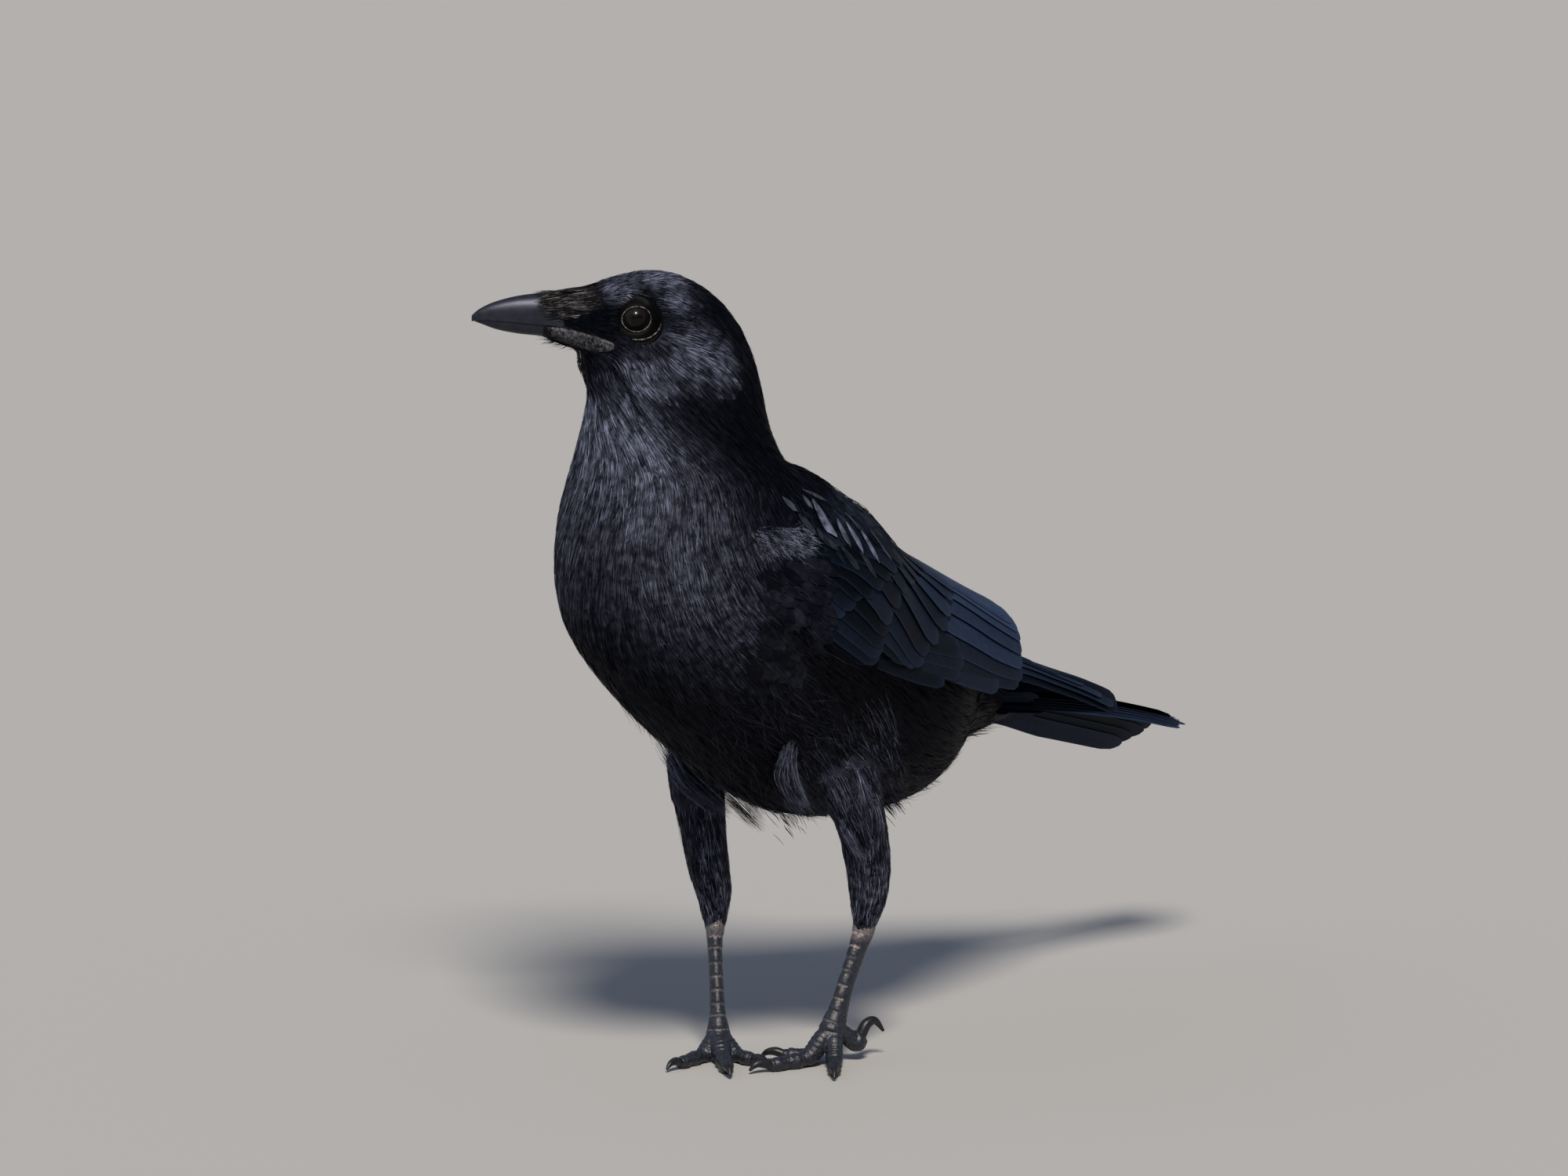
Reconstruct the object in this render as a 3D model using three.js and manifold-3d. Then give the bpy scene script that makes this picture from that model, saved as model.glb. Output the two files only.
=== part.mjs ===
// A life-size American crow, standing at ease with its head turned to its right.
// Millimetres, +Z up. The body faces -Y, the bird's left side is +X and its toes rest on Z = 0.
// While it is modelled the origin lies on the ground between the feet. At the end the whole bird
// is moved so that the origin is the middle of the bottom of its bounding box.
import * as THREE from "three";
import { mergeVertices } from "three/addons/utils/BufferGeometryUtils.js";
import Module from "manifold-3d";

const wasm = await Module();
wasm.setup();

// ---- Driving dimensions -------------------------------------------------------------------

const GAP = 0.3; // clearance left between two pieces that meet
const EYES = new THREE.Vector3(-14.7, -73.3, 318.8); // near midway between the eyes: the head's origin
const HEAD_TURN = 42; // degrees that the head is turned to the bird's right
const EYE = { radius: 6.6, aside: 11.5, back: 0.4, down: 1.1 }; // from the head's origin
const BODY_SIDES = 28;
const ROUNDNESS = 2.15; // of a body section: 2 is an ellipse, more is squarer
const EYE_FACETS = { around: 14, down: 9 };
const TOE_SIDES = 8;
const THIGH_SIDES = 14;

// ---- Frames and numbers -------------------------------------------------------------------

const point = (x, y, z) => new THREE.Vector3(x, y, z);
const radians = THREE.MathUtils.degToRad;
const mirrored = { left: 1, right: -1 };

// The axes of a section whose normal points headward: turned right by turn, raised by pitch.
function axes(turn, pitch) {
  const [t, p] = [radians(turn), radians(pitch)];
  return {
    normal: point(-Math.sin(t) * Math.cos(p), -Math.cos(t) * Math.cos(p), Math.sin(p)),
    left: point(Math.cos(t), -Math.sin(t), 0),
    dorsal: point(Math.sin(t) * Math.sin(p), Math.cos(t) * Math.sin(p), Math.cos(p)),
  };
}

const HEAD = axes(HEAD_TURN, 0);

// A place on the head: ahead of the eyes, to the left of the middle, above the eyes.
function onHead(ahead, left, above) {
  return EYES.clone()
    .addScaledVector(HEAD.normal, ahead)
    .addScaledVector(HEAD.left, left)
    .addScaledVector(HEAD.dorsal, above);
}

function catmullRom(a, b, c, d, t) {
  const slopes = (c - a) * t + (2 * a - 5 * b + 4 * c - d) * t * t;
  return b + 0.5 * (slopes + (3 * b - a - 3 * c + d) * t ** 3);
}

// Stations hold numbers under the same keys. Each gap between two of them gets steps sections.
function between(stations, steps) {
  const last = stations.length - 1;
  const found = [];
  for (let i = 0; i < last; i++) {
    const four = [i - 1, i, i + 1, i + 2].map((n) => stations[Math.min(Math.max(n, 0), last)]);
    for (let k = 0; k < steps; k++) {
      const value = (key) => catmullRom(...four.map((station) => station[key]), k / steps);
      found.push(Object.fromEntries(Object.keys(stations[0]).map((key) => [key, value(key)])));
    }
  }
  return [...found, stations[last]];
}

// ---- Solids -------------------------------------------------------------------------------

function solid(points, faces) {
  const vertProperties = new Float32Array(points.flatMap((p) => p.toArray()));
  const build = (triVerts) => new wasm.Manifold(new wasm.Mesh({ numProp: 3, vertProperties, triVerts }));
  const made = build(new Uint32Array(faces));
  return made.volume() > 0 ? made : build(new Uint32Array(faces).reverse());
}

// A closed surface through rings of points, with a fan over each end.
function loft(rings) {
  const sides = rings[0].length;
  const middle = (ring) => ring.reduce((sum, p) => sum.add(p), point(0, 0, 0)).divideScalar(sides);
  const points = [...rings.flat(), middle(rings[0]), middle(rings.at(-1))];
  const [firstMiddle, lastMiddle] = [points.length - 2, points.length - 1];
  const lastRing = (rings.length - 1) * sides;
  const faces = [];
  for (let j = 0; j < sides; j++) {
    const next = (j + 1) % sides;
    for (let row = 0; row < lastRing; row += sides) {
      faces.push(row + j, row + next, row + next + sides);
      faces.push(row + j, row + next + sides, row + j + sides);
    }
    faces.push(firstMiddle, next, j, lastMiddle, lastRing + j, lastRing + next);
  }
  return solid(points, faces);
}

// A closed slab between two sheets of points that have the same rows and columns.
function slab(top, bottom) {
  const [rows, columns] = [top.length, top[0].length];
  const at = (sheet, row, column) => (sheet * rows + row) * columns + column;
  const faces = [];
  const quad = (a, b, c, d) => faces.push(a, b, c, a, c, d);
  for (let i = 0; i < rows - 1; i++) {
    for (let j = 0; j < columns - 1; j++) {
      quad(at(0, i, j), at(0, i, j + 1), at(0, i + 1, j + 1), at(0, i + 1, j));
      quad(at(1, i, j), at(1, i + 1, j), at(1, i + 1, j + 1), at(1, i, j + 1));
    }
    quad(at(0, i, 0), at(0, i + 1, 0), at(1, i + 1, 0), at(1, i, 0));
    const far = columns - 1;
    quad(at(0, i + 1, far), at(0, i, far), at(1, i, far), at(1, i + 1, far));
  }
  for (let j = 0; j < columns - 1; j++) {
    quad(at(0, 0, j + 1), at(0, 0, j), at(1, 0, j), at(1, 0, j + 1));
    const far = rows - 1;
    quad(at(0, far, j), at(0, far, j + 1), at(1, far, j + 1), at(1, far, j));
  }
  return solid([...top.flat(), ...bottom.flat()], faces);
}

// The solid of one of three.js's own shapes, moved by a matrix.
function solidOf(geometry, matrix) {
  geometry.deleteAttribute("normal");
  geometry.deleteAttribute("uv");
  const merged = mergeVertices(geometry.applyMatrix4(matrix), 1e-4);
  const vertProperties = merged.attributes.position.array;
  const triVerts = new Uint32Array(merged.index.array);
  return new wasm.Manifold(new wasm.Mesh({ numProp: 3, vertProperties, triVerts }));
}

// What is left of a solid outside the cutters: its largest piece, without any slivers.
function carve(made, ...cutters) {
  const left = cutters.reduce((rest, cutter) => rest.subtract(cutter), made);
  return left.decompose().reduce((best, piece) => (piece.volume() > best.volume() ? piece : best));
}

// A round bar along stations that give its middle and its reach: wide across, tall from side to side.
function bar(stations, { steps = 2, sides = 10, upward = point(0, 0, 1), grow = 0 } = {}) {
  const path = between(stations, steps);
  const middles = path.map(({ x, y, z }) => point(x, y, z));
  const rings = path.map(({ wide, tall }, i) => {
    const before = middles[Math.max(i - 1, 0)];
    const after = middles[Math.min(i + 1, middles.length - 1)];
    const along = after.clone().sub(before).normalize();
    const across = upward.clone().cross(along).normalize();
    const over = along.clone().cross(across);
    const end = i === 0 ? -grow : i === path.length - 1 ? grow : 0;
    return Array.from({ length: sides }, (_, j) => {
      const angle = (2 * Math.PI * (j + 0.5)) / sides;
      return middles[i]
        .clone()
        .addScaledVector(along, end)
        .addScaledVector(across, Math.cos(angle) * (wide + grow))
        .addScaledVector(over, Math.sin(angle) * (tall + grow));
    });
  });
  return loft(rings);
}

// ---- Head, neck and trunk: one form, parted by two thin cuts ------------------------------

// A section has its middle, its half width, and its reach up to the back and down to the belly.
function headSection(ahead, above, pitch, wide, up, down, turn = HEAD_TURN) {
  const { x, y, z } = onHead(ahead, 0, above);
  return { x, y, z, turn, pitch, wide, up, down };
}

// A section of the trunk runs from a point of the belly line up to a point of the back line, and
// is widest at a share of the way up.
function trunkSection([backY, backZ], [bellyY, bellyZ], wide, widest = 0.5) {
  const tall = Math.hypot(backY - bellyY, backZ - bellyZ);
  const pitch = THREE.MathUtils.radToDeg(Math.atan2(backY - bellyY, backZ - bellyZ));
  const y = THREE.MathUtils.lerp(bellyY, backY, widest);
  const z = THREE.MathUtils.lerp(bellyZ, backZ, widest);
  return { x: 0, y, z, turn: 0, pitch, wide, up: tall * (1 - widest), down: tall * widest };
}

const FORM = [
  headSection(30, -1.8, 0, 7.6, 10.2, 10.4), // bill base, in the nasal bristles
  headSection(20, -3, 12, 11, 12.7, 12.4), // forehead and chin
  headSection(12.5, -2.5, 28, 14.5, 18, 18), // in front of the eyes
  headSection(2.6, -4, 46, 18, 26.3, 26), // crown and cheeks
  headSection(-8, -12, 65, 21.5, 32, 31), // ear coverts and hind crown
  headSection(-14.5, -25, 84, 26, 35.5, 33.5, 38), // nape and throat
  headSection(-18.5, -41, 98, 32, 37, 36, 24), // middle of the neck
  trunkSection([-17, 253], [-103.5, 260], 40.5, 0.52), // base of the neck
  trunkSection([-3, 248], [-111.5, 224], 48.5, 0.53), // shoulders and upper breast
  trunkSection([19, 236.5], [-108.5, 187], 51.5, 0.54), // breast
  trunkSection([42, 219], [-74, 149], 48, 0.56),
  trunkSection([61, 200], [-28, 116], 43, 0.56), // belly
  trunkSection([78, 181], [4, 101], 40, 0.54),
  trunkSection([92, 164], [33, 97], 37, 0.52), // flanks
  trunkSection([101, 155], [59, 96], 31, 0.5), // vent
  trunkSection([107, 150], [81, 101], 24, 0.5),
  trunkSection([114, 146], [100, 113], 17, 0.5), // tail coverts
  trunkSection([130, 138], [124, 116], 12, 0.5),
];
const SECTIONS_BETWEEN = 2;
const NECK_FROM = 4 * SECTIONS_BETWEEN; // behind the ear coverts
const TRUNK_FROM = 7 * SECTIONS_BETWEEN; // at the base of the neck

const form = between(FORM, SECTIONS_BETWEEN);
const FORM_END = form.length - 1;

// A squared ellipse about a section's middle, moved headward by slide.
function outline(station, grow, slide) {
  const { normal, left, dorsal } = axes(station.turn, station.pitch);
  const squared = (value) => Math.sign(value) * Math.abs(value) ** (2 / ROUNDNESS);
  return Array.from({ length: BODY_SIDES }, (_, j) => {
    const angle = (2 * Math.PI * j) / BODY_SIDES;
    const tall = Math.sin(angle) > 0 ? station.up : station.down;
    return point(station.x, station.y, station.z)
      .addScaledVector(normal, slide)
      .addScaledVector(left, squared(Math.cos(angle)) * (station.wide + grow))
      .addScaledVector(dorsal, squared(Math.sin(angle)) * (tall + grow));
  });
}

// The form from one section to another. Its ends lie past them by reach, or short of them.
function flesh(from, to, reach, grow = 0) {
  const slides = (i) => (i === from ? reach : i === to ? -reach : 0);
  return loft(form.slice(from, to + 1).map((station, k) => outline(station, grow, slides(from + k))));
}

const bodySpace = flesh(0, FORM_END, GAP, GAP); // nothing else comes in here

// ---- Eyes and bill ------------------------------------------------------------------------

function eyeball(side, grow = 0) {
  const { x, y, z } = onHead(-EYE.back, side * EYE.aside, -EYE.down);
  const ball = new THREE.SphereGeometry(EYE.radius + grow, EYE_FACETS.around, EYE_FACETS.down);
  return solidOf(ball, new THREE.Matrix4().setPosition(x, y, z));
}

// Ahead of the eyes, then the heights of the ridge, the cutting edges and the keel.
const BILL = [
  { ahead: 26, ridge: 7.9, close: -5, keel: -12.4, wide: 7.4 },
  { ahead: 36, ridge: 7.7, close: -3.6, keel: -10, wide: 6.2 },
  { ahead: 46, ridge: 6.7, close: -2.7, keel: -8.6, wide: 4.8 },
  { ahead: 55, ridge: 4.6, close: -2, keel: -6.6, wide: 3.3 },
  { ahead: 61, ridge: 2, close: -1.9, keel: -4.5, wide: 1.9 },
  { ahead: 64.4, ridge: -0.7, close: -2.5, keel: -3.2, wide: 0.7 },
];
const BILL_SIDES = 13;
const BILL_FULLNESS = 0.9; // power of the arch's sine: less is squarer

// Half a bill: an arch from one cutting edge over the ridge or keel to the other, closed by a flat.
function billHalf(over) {
  const arch = (s) => {
    const edge = s.close + (over * GAP) / 2;
    const reach = (over > 0 ? s.ridge : s.keel) - edge;
    return Array.from({ length: BILL_SIDES }, (_, j) => {
      const angle = (Math.PI * j) / (BILL_SIDES - 1);
      const lift = Math.sin(angle) ** BILL_FULLNESS;
      return onHead(s.ahead, s.wide * Math.cos(angle), edge + reach * lift);
    });
  };
  return loft(between(BILL, 2).map(arch));
}

// ---- Wings and tail -----------------------------------------------------------------------

// A folded wing is a bowed blade: each station gives its lower and its upper edge, how far it
// bows out from the straight line between them, and its thickness.
const WING = [
  { lx: 46, ly: -62, lz: 207, ux: 44, uy: -56, uz: 221, bow: 1, thick: 4 },
  { lx: 55, ly: -47, lz: 191, ux: 43, uy: -35, uz: 235, bow: 8, thick: 12 },
  { lx: 58, ly: -20, lz: 174, ux: 36, uy: -4, uz: 237, bow: 11, thick: 16 },
  { lx: 56, ly: 6, lz: 168, ux: 24, uy: 26, uz: 228, bow: 12, thick: 15 },
  { lx: 52, ly: 34, lz: 160, ux: 11, uy: 58, uz: 207, bow: 11, thick: 12 },
  { lx: 45, ly: 66, lz: 152, ux: 6, uy: 92, uz: 184, bow: 9, thick: 9 },
  { lx: 36, ly: 98, lz: 145, ux: 6, uy: 120, uz: 167, bow: 6, thick: 5 },
  { lx: 29, ly: 119, lz: 142, ux: 8, uy: 136, uz: 161, bow: 3, thick: 2.5 },
];
const PRIMARIES = [
  { lx: 32, ly: 100, lz: 142, ux: 9, uy: 100, uz: 158, bow: 3.5, thick: 3 },
  { lx: 27, ly: 124, lz: 137, ux: 8, uy: 128, uz: 151, bow: 3.5, thick: 4 },
  { lx: 21, ly: 152, lz: 129, ux: 9, uy: 156, uz: 139, bow: 2.5, thick: 3.4 },
  { lx: 16, ly: 180, lz: 120, ux: 10, uy: 184, uz: 127, bow: 1.6, thick: 2.6 },
  { lx: 12, ly: 202, lz: 113, ux: 10, uy: 204, uz: 116, bow: 0.5, thick: 1.4 },
];
const BLADE_POINTS = 8; // across each face
const BLADE_EDGE = 0.3; // thickness at the edges, as a share of the middle

function blade(stations, side, grow = 0) {
  const shares = Array.from({ length: BLADE_POINTS }, (_, j) => j / (BLADE_POINTS - 1));
  const rows = between(stations, 2).map((s) => {
    const lower = point(side * s.lx, s.ly, s.lz);
    const upper = point(side * s.ux, s.uy, s.uz);
    const across = upper.clone().sub(lower);
    const outward = point(side * across.z, 0, -side * across.x).normalize();
    across.normalize();
    return shares.map((t) => {
      const swell = Math.sin(Math.PI * t);
      const thick = s.thick * (BLADE_EDGE + (1 - BLADE_EDGE) * swell);
      const middle = lower.clone().lerp(upper, t).addScaledVector(across, grow * (2 * t - 1));
      const outer = middle.clone().addScaledVector(outward, s.bow * swell + grow);
      return { outer, inner: middle.addScaledVector(outward, s.bow * swell - thick - grow) };
    });
  });
  return slab(...["outer", "inner"].map((face) => rows.map((row) => row.map((p) => p[face]))));
}

const TAIL = { y: 96, z: 136, length: 155, base: 9, tip: 23, thick: 2.4 };
const TAIL_FALL = { straight: 0.061, curved: 0.0011 }; // over the run, and over its square
const TAIL_GRADED = 0.17; // the outermost feathers are this share shorter than the middle ones
const TAIL_ROOF = 10.5; // how far its edges lie below its ridge
const TAIL_ROLL = 0.36; // how much its left side is raised
const TAIL_ROWS = 8;
const TAIL_HALF_COLUMNS = 6;

// A fan of feathers, highest along the middle. across runs from -1 on the right to 1.
function tailSheet(below, grow = 0) {
  const rows = Array.from({ length: TAIL_ROWS + 1 }, (_, i) => i / TAIL_ROWS);
  const columns = Array.from({ length: 2 * TAIL_HALF_COLUMNS + 1 }, (_, j) => j / TAIL_HALF_COLUMNS - 1);
  return rows.map((along) =>
    columns.map((across) => {
      const run = along * TAIL.length * (1 - TAIL_GRADED * across ** 2) + grow * (2 * along - 1);
      const x = across * (THREE.MathUtils.lerp(TAIL.base, TAIL.tip, along ** 0.8) + grow);
      const fall = run * TAIL_FALL.straight + run ** 2 * TAIL_FALL.curved;
      const tilt = TAIL_ROLL * x - TAIL_ROOF * Math.abs(across) ** 1.5;
      const top = TAIL.z - fall + tilt * Math.min(1, 0.3 + along) + grow;
      const thick = TAIL.thick * (1.2 - 0.6 * along) + 2 * grow; // thinner toward the tip
      return point(x, TAIL.y + run, top - below * thick);
    }),
  );
}

// ---- Legs and feet ------------------------------------------------------------------------

// From the body down: the feathered thigh, then the bare leg from the heel to the foot.
const LEG = {
  left: {
    thigh: [
      { x: 27, y: 6, z: 126, wide: 14, tall: 17 },
      { x: 29, y: 13, z: 112, wide: 11, tall: 13 },
      { x: 29, y: 19, z: 98, wide: 9.4, tall: 10.2 },
      { x: 28, y: 24.2, z: 82, wide: 8.6, tall: 9.4 },
      { x: 27, y: 26, z: 69, wide: 7.8, tall: 8.6 },
      { x: 26.6, y: 24.8, z: 59, wide: 6.2, tall: 7 },
      { x: 26.2, y: 23.8, z: 54.5, wide: 4.4, tall: 5.4 },
    ],
    shank: [
      { x: 26.6, y: 26.4, z: 62, wide: 3, tall: 4 },
      { x: 26, y: 24.4, z: 53.5, wide: 3.8, tall: 4.8 },
      { x: 25.6, y: 21.2, z: 46, wide: 3, tall: 4 },
      { x: 24.9, y: 15.5, z: 34, wide: 2.8, tall: 3.7 },
      { x: 24.4, y: 11, z: 23.5, wide: 3.3, tall: 4 },
      { x: 23.5, y: 7, z: 13.5, wide: 5.3, tall: 5.6 },
    ],
    foot: { x: 24, y: 8, arch: 1.1, turns: { middle: -18, inner: -58, outer: 40, hind: 162 }, hindLift: 4 },
  },
  right: {
    thigh: [
      { x: -26, y: -18, z: 126, wide: 14, tall: 17 },
      { x: -28, y: -16, z: 112, wide: 11, tall: 12 },
      { x: -28.5, y: -13, z: 99, wide: 9, tall: 9.8 },
      { x: -28, y: -9.6, z: 79, wide: 8, tall: 8.6 },
      { x: -28, y: -6, z: 67, wide: 7.2, tall: 7.8 },
      { x: -28, y: -5.2, z: 57, wide: 5.8, tall: 6.2 },
      { x: -27.8, y: -5.2, z: 51, wide: 4, tall: 4.8 },
    ],
    shank: [
      { x: -28, y: -4.8, z: 59, wide: 3, tall: 4 },
      { x: -27.6, y: -5.6, z: 51, wide: 3.6, tall: 4.6 },
      { x: -26.2, y: -7.4, z: 44, wide: 3, tall: 3.9 },
      { x: -22.8, y: -10.6, z: 32, wide: 2.8, tall: 3.7 },
      { x: -19.4, y: -13.8, z: 19, wide: 3.2, tall: 4 },
      { x: -17.6, y: -15.4, z: 9.5, wide: 5.2, tall: 5.4 },
    ],
    foot: { x: -18, y: -15, arch: 0.6, turns: { middle: 47, inner: 83, outer: 3, hind: 227 }, hindLift: 0 },
  },
};

// Stations of a toe as [distance from the foot, height of the middle, radius]: it comes down from
// the foot and swells at each pad. Its claw goes on from its end. Heights over ARCH_FROM are
// stretched by the foot's arch.
const ARCH_FROM = 3.6;
const TOES = {
  middle: {
    toe: [
      [0, 13, 4], [5.5, 10, 3.9], [11, 4.6, 3.8], [15, 3.3, 3], [19, 2.9, 3.4],
      [23, 2.9, 2.6], [27, 2.6, 3.1], [31, 2.8, 2.2],
    ],
    claw: [[30.4, 2.9, 2], [34, 4.2, 1.9], [37.6, 3.8, 1.4], [40.4, 1.7, 0.5]],
  },
  inner: {
    toe: [[0, 12.5, 3.8], [5, 8.6, 3.6], [9.5, 3.4, 3.5], [13.5, 2.9, 2.6], [17.5, 2.6, 3.1], [21, 2.8, 2.1]],
    claw: [[20.4, 2.9, 1.9], [24, 4.1, 1.8], [27.5, 3.7, 1.3], [30, 1.7, 0.5]],
  },
  outer: {
    toe: [
      [0, 12.5, 3.8], [5, 8.6, 3.5], [9.5, 3.2, 3.4], [13, 2.9, 2.6], [16.5, 2.6, 3.1],
      [20, 2.7, 2.4], [23, 2.3, 2.8], [26, 2.6, 2],
    ],
    claw: [[25.4, 2.7, 1.8], [28.6, 3.9, 1.7], [32, 3.4, 1.2], [34.4, 1.5, 0.5]],
  },
  hind: {
    toe: [[0, 10, 3.4], [4, 7.6, 3.3], [7.5, 5, 3.6], [10.6, 3.9, 4.4], [13.6, 5.2, 2.9]],
    claw: [[12.6, 6, 2.4], [15.4, 9.8, 2.2], [19.4, 10.6, 1.6], [23.4, 6.4, 0.6]],
  },
};

// All that lies under Z = 0, cut from the toes so that they stand on flats.
const GROUND_SIZE = { wide: 400, deep: 40 };
const GROUND = solidOf(
  new THREE.BoxGeometry(GROUND_SIZE.wide, GROUND_SIZE.wide, GROUND_SIZE.deep),
  new THREE.Matrix4().setPosition(0, 0, -GROUND_SIZE.deep / 2),
);

function digit(foot, turn, lift, stations, grow = 0) {
  const t = radians(turn);
  const path = stations.map(([out, height, radius]) => {
    const z = lift + height + Math.max(0, height - ARCH_FROM) * (foot.arch - 1);
    return { x: foot.x + out * Math.sin(t), y: foot.y - out * Math.cos(t), z, wide: radius, tall: radius };
  });
  return bar(path, { sides: TOE_SIDES, steps: 1, grow });
}

// ---- Assembly -----------------------------------------------------------------------------

const nodes = {};

const billSpace = [flesh(0, NECK_FROM, GAP, GAP)];
nodes.bill_upper = carve(billHalf(1), ...billSpace);
nodes.bill_lower = carve(billHalf(-1), ...billSpace);

const sockets = Object.values(mirrored).map((side) => eyeball(side, GAP));
nodes.head = carve(flesh(0, NECK_FROM, -GAP / 2), ...sockets);
nodes.neck = flesh(NECK_FROM, TRUNK_FROM, -GAP / 2);
nodes.trunk = flesh(TRUNK_FROM, FORM_END, -GAP / 2);

const tailSpace = slab(tailSheet(0, GAP), tailSheet(1, GAP));
nodes.tail = carve(slab(tailSheet(0), tailSheet(1)), bodySpace);

for (const [name, side] of Object.entries(mirrored)) {
  nodes[`eye_${name}`] = eyeball(side);
  nodes[`wing_${name}`] = carve(blade(WING, side), bodySpace, tailSpace);
  nodes[`primaries_${name}`] = carve(blade(PRIMARIES, side), bodySpace, tailSpace, blade(WING, side, GAP));

  const { thigh, shank, foot } = LEG[name];
  const toesPoint = radians(foot.turns.middle);
  const upward = point(Math.sin(toesPoint), -Math.cos(toesPoint), 0);
  const shankSpace = bar(shank, { upward, grow: GAP });
  nodes[`thigh_${name}`] = carve(
    bar(thigh, { upward: point(0, -1, 0), sides: THIGH_SIDES }),
    bodySpace,
    shankSpace,
  );
  nodes[`shank_${name}`] = bar(shank, { upward });

  const taken = [shankSpace, GROUND];
  for (const [digitName, turn] of Object.entries(foot.turns)) {
    const { toe, claw } = TOES[digitName];
    const lift = digitName === "hind" ? foot.hindLift : 0;
    nodes[`toe_${digitName}_${name}`] = carve(digit(foot, turn, lift, toe), ...taken);
    taken.push(digit(foot, turn, lift, toe, GAP));
    nodes[`claw_${digitName}_${name}`] = carve(digit(foot, turn, lift, claw), ...taken);
  }
}

// By the first word of a name. All else is plumage.
const SURFACES = {
  bill: { color: "#1b1b1e", roughness: 0.38 },
  eye: { color: "#120c0a", roughness: 0.05 },
  shank: { color: "#26242a", roughness: 0.5 },
  toe: { color: "#232127", roughness: 0.4 },
  claw: { color: "#1d1c20", roughness: 0.35 },
};
const PLUMAGE = { color: "#101114", roughness: 0.55 };

const crow = new THREE.Group();
for (const [name, made] of Object.entries(nodes)) {
  const { vertProperties, triVerts, numProp } = made.getMesh();
  const geometry = new THREE.BufferGeometry();
  const positions = Array.from(vertProperties).filter((_, i) => i % numProp < 3);
  geometry.setAttribute("position", new THREE.Float32BufferAttribute(positions, 3));
  geometry.setIndex(Array.from(triVerts));
  geometry.computeVertexNormals();
  const surface = SURFACES[name.split("_")[0]] ?? PLUMAGE;
  const mesh = new THREE.Mesh(geometry, new THREE.MeshStandardMaterial({ ...surface, metalness: 0 }));
  mesh.name = name;
  crow.add(mesh);
}

const bounds = new THREE.Box3().setFromObject(crow);
const middle = bounds.getCenter(point(0, 0, 0));
crow.position.set(-middle.x, -middle.y, -bounds.min.z);

export default crow;
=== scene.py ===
"""A life-size American crow at ease, its head turned to its right.

The solids of the frame give the outline. Around them this builds one skin, the coat of feathers over
it, the wing and tail feathers one by one, the bill, the eyes, the scaled feet and the claws.
Lengths are in millimetres until a mesh is made, and in metres there. The bird faces -Y and its left
side is +X.
"""

import math

import bmesh
import bpy
import numpy as np
from bpy.props import FloatProperty, FloatVectorProperty, IntProperty, PointerProperty
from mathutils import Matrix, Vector
from mathutils.bvhtree import BVHTree
from mathutils.kdtree import KDTree


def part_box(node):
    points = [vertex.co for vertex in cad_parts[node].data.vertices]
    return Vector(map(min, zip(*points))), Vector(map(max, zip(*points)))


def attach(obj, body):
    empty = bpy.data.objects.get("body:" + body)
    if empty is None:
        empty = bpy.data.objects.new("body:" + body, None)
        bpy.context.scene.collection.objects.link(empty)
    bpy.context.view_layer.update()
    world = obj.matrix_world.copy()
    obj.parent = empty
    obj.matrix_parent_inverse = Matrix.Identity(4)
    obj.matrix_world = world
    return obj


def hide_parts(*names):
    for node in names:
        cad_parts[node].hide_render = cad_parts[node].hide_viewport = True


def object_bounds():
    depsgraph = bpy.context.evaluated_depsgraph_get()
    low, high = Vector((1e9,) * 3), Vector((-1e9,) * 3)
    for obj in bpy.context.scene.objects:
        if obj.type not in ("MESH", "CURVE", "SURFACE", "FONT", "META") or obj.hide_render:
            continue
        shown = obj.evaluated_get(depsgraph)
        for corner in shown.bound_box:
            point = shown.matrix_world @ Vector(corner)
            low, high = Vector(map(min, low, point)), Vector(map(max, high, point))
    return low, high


bl_info = {
    "name": "Standing crow",
    "version": (1, 0, 0),
    "blender": (4, 5, 0),
    "location": "View3D > Sidebar > Crow",
    "description": "Builds the coat, bill, eyes and feet of a life-size crow round its solids",
    "category": "Add Mesh",
}

MM = 0.001
SIDES = {"left": 1, "right": -1}

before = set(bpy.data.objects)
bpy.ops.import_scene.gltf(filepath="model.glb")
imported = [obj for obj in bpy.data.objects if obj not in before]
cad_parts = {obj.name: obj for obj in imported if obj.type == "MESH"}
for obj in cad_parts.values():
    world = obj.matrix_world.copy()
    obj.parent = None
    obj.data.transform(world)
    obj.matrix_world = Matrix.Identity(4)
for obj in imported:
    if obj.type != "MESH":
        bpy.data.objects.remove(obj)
CAD_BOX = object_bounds()


# ---- Numbers and colours ----


def linear(code):
    """The linear RGB of an sRGB hex colour such as "#1a1b1e"."""
    parts = [int(code[i : i + 2], 16) / 255 for i in (1, 3, 5)]
    return tuple(c / 12.92 if c <= 0.04045 else ((c + 0.055) / 1.055) ** 2.4 for c in parts)


def unit(vectors):
    """Vectors along the last axis, each made one long."""
    length = np.linalg.norm(vectors, axis=-1, keepdims=True)
    return vectors / np.maximum(length, 1e-12)


def between(stations, steps):
    """Smooth values through rows of numbers, with steps rows for each gap between two of them."""
    rows = np.array(stations, float)
    last = len(rows) - 1
    place = np.linspace(0, last, last * steps + 1)
    i = np.minimum(place.astype(int), last - 1)
    t = (place - i)[:, None]
    a, b, c, d = (rows[np.clip(i + k, 0, last)] for k in (-1, 0, 1, 2))
    bend = 2 * a - 5 * b + 4 * c - d
    return b + 0.5 * ((c - a) * t + bend * t**2 + (3 * b - a - 3 * c + d) * t**3)


def turns(count):
    """Angles evenly round a circle."""
    return 2 * np.pi * np.arange(count) / count


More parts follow.
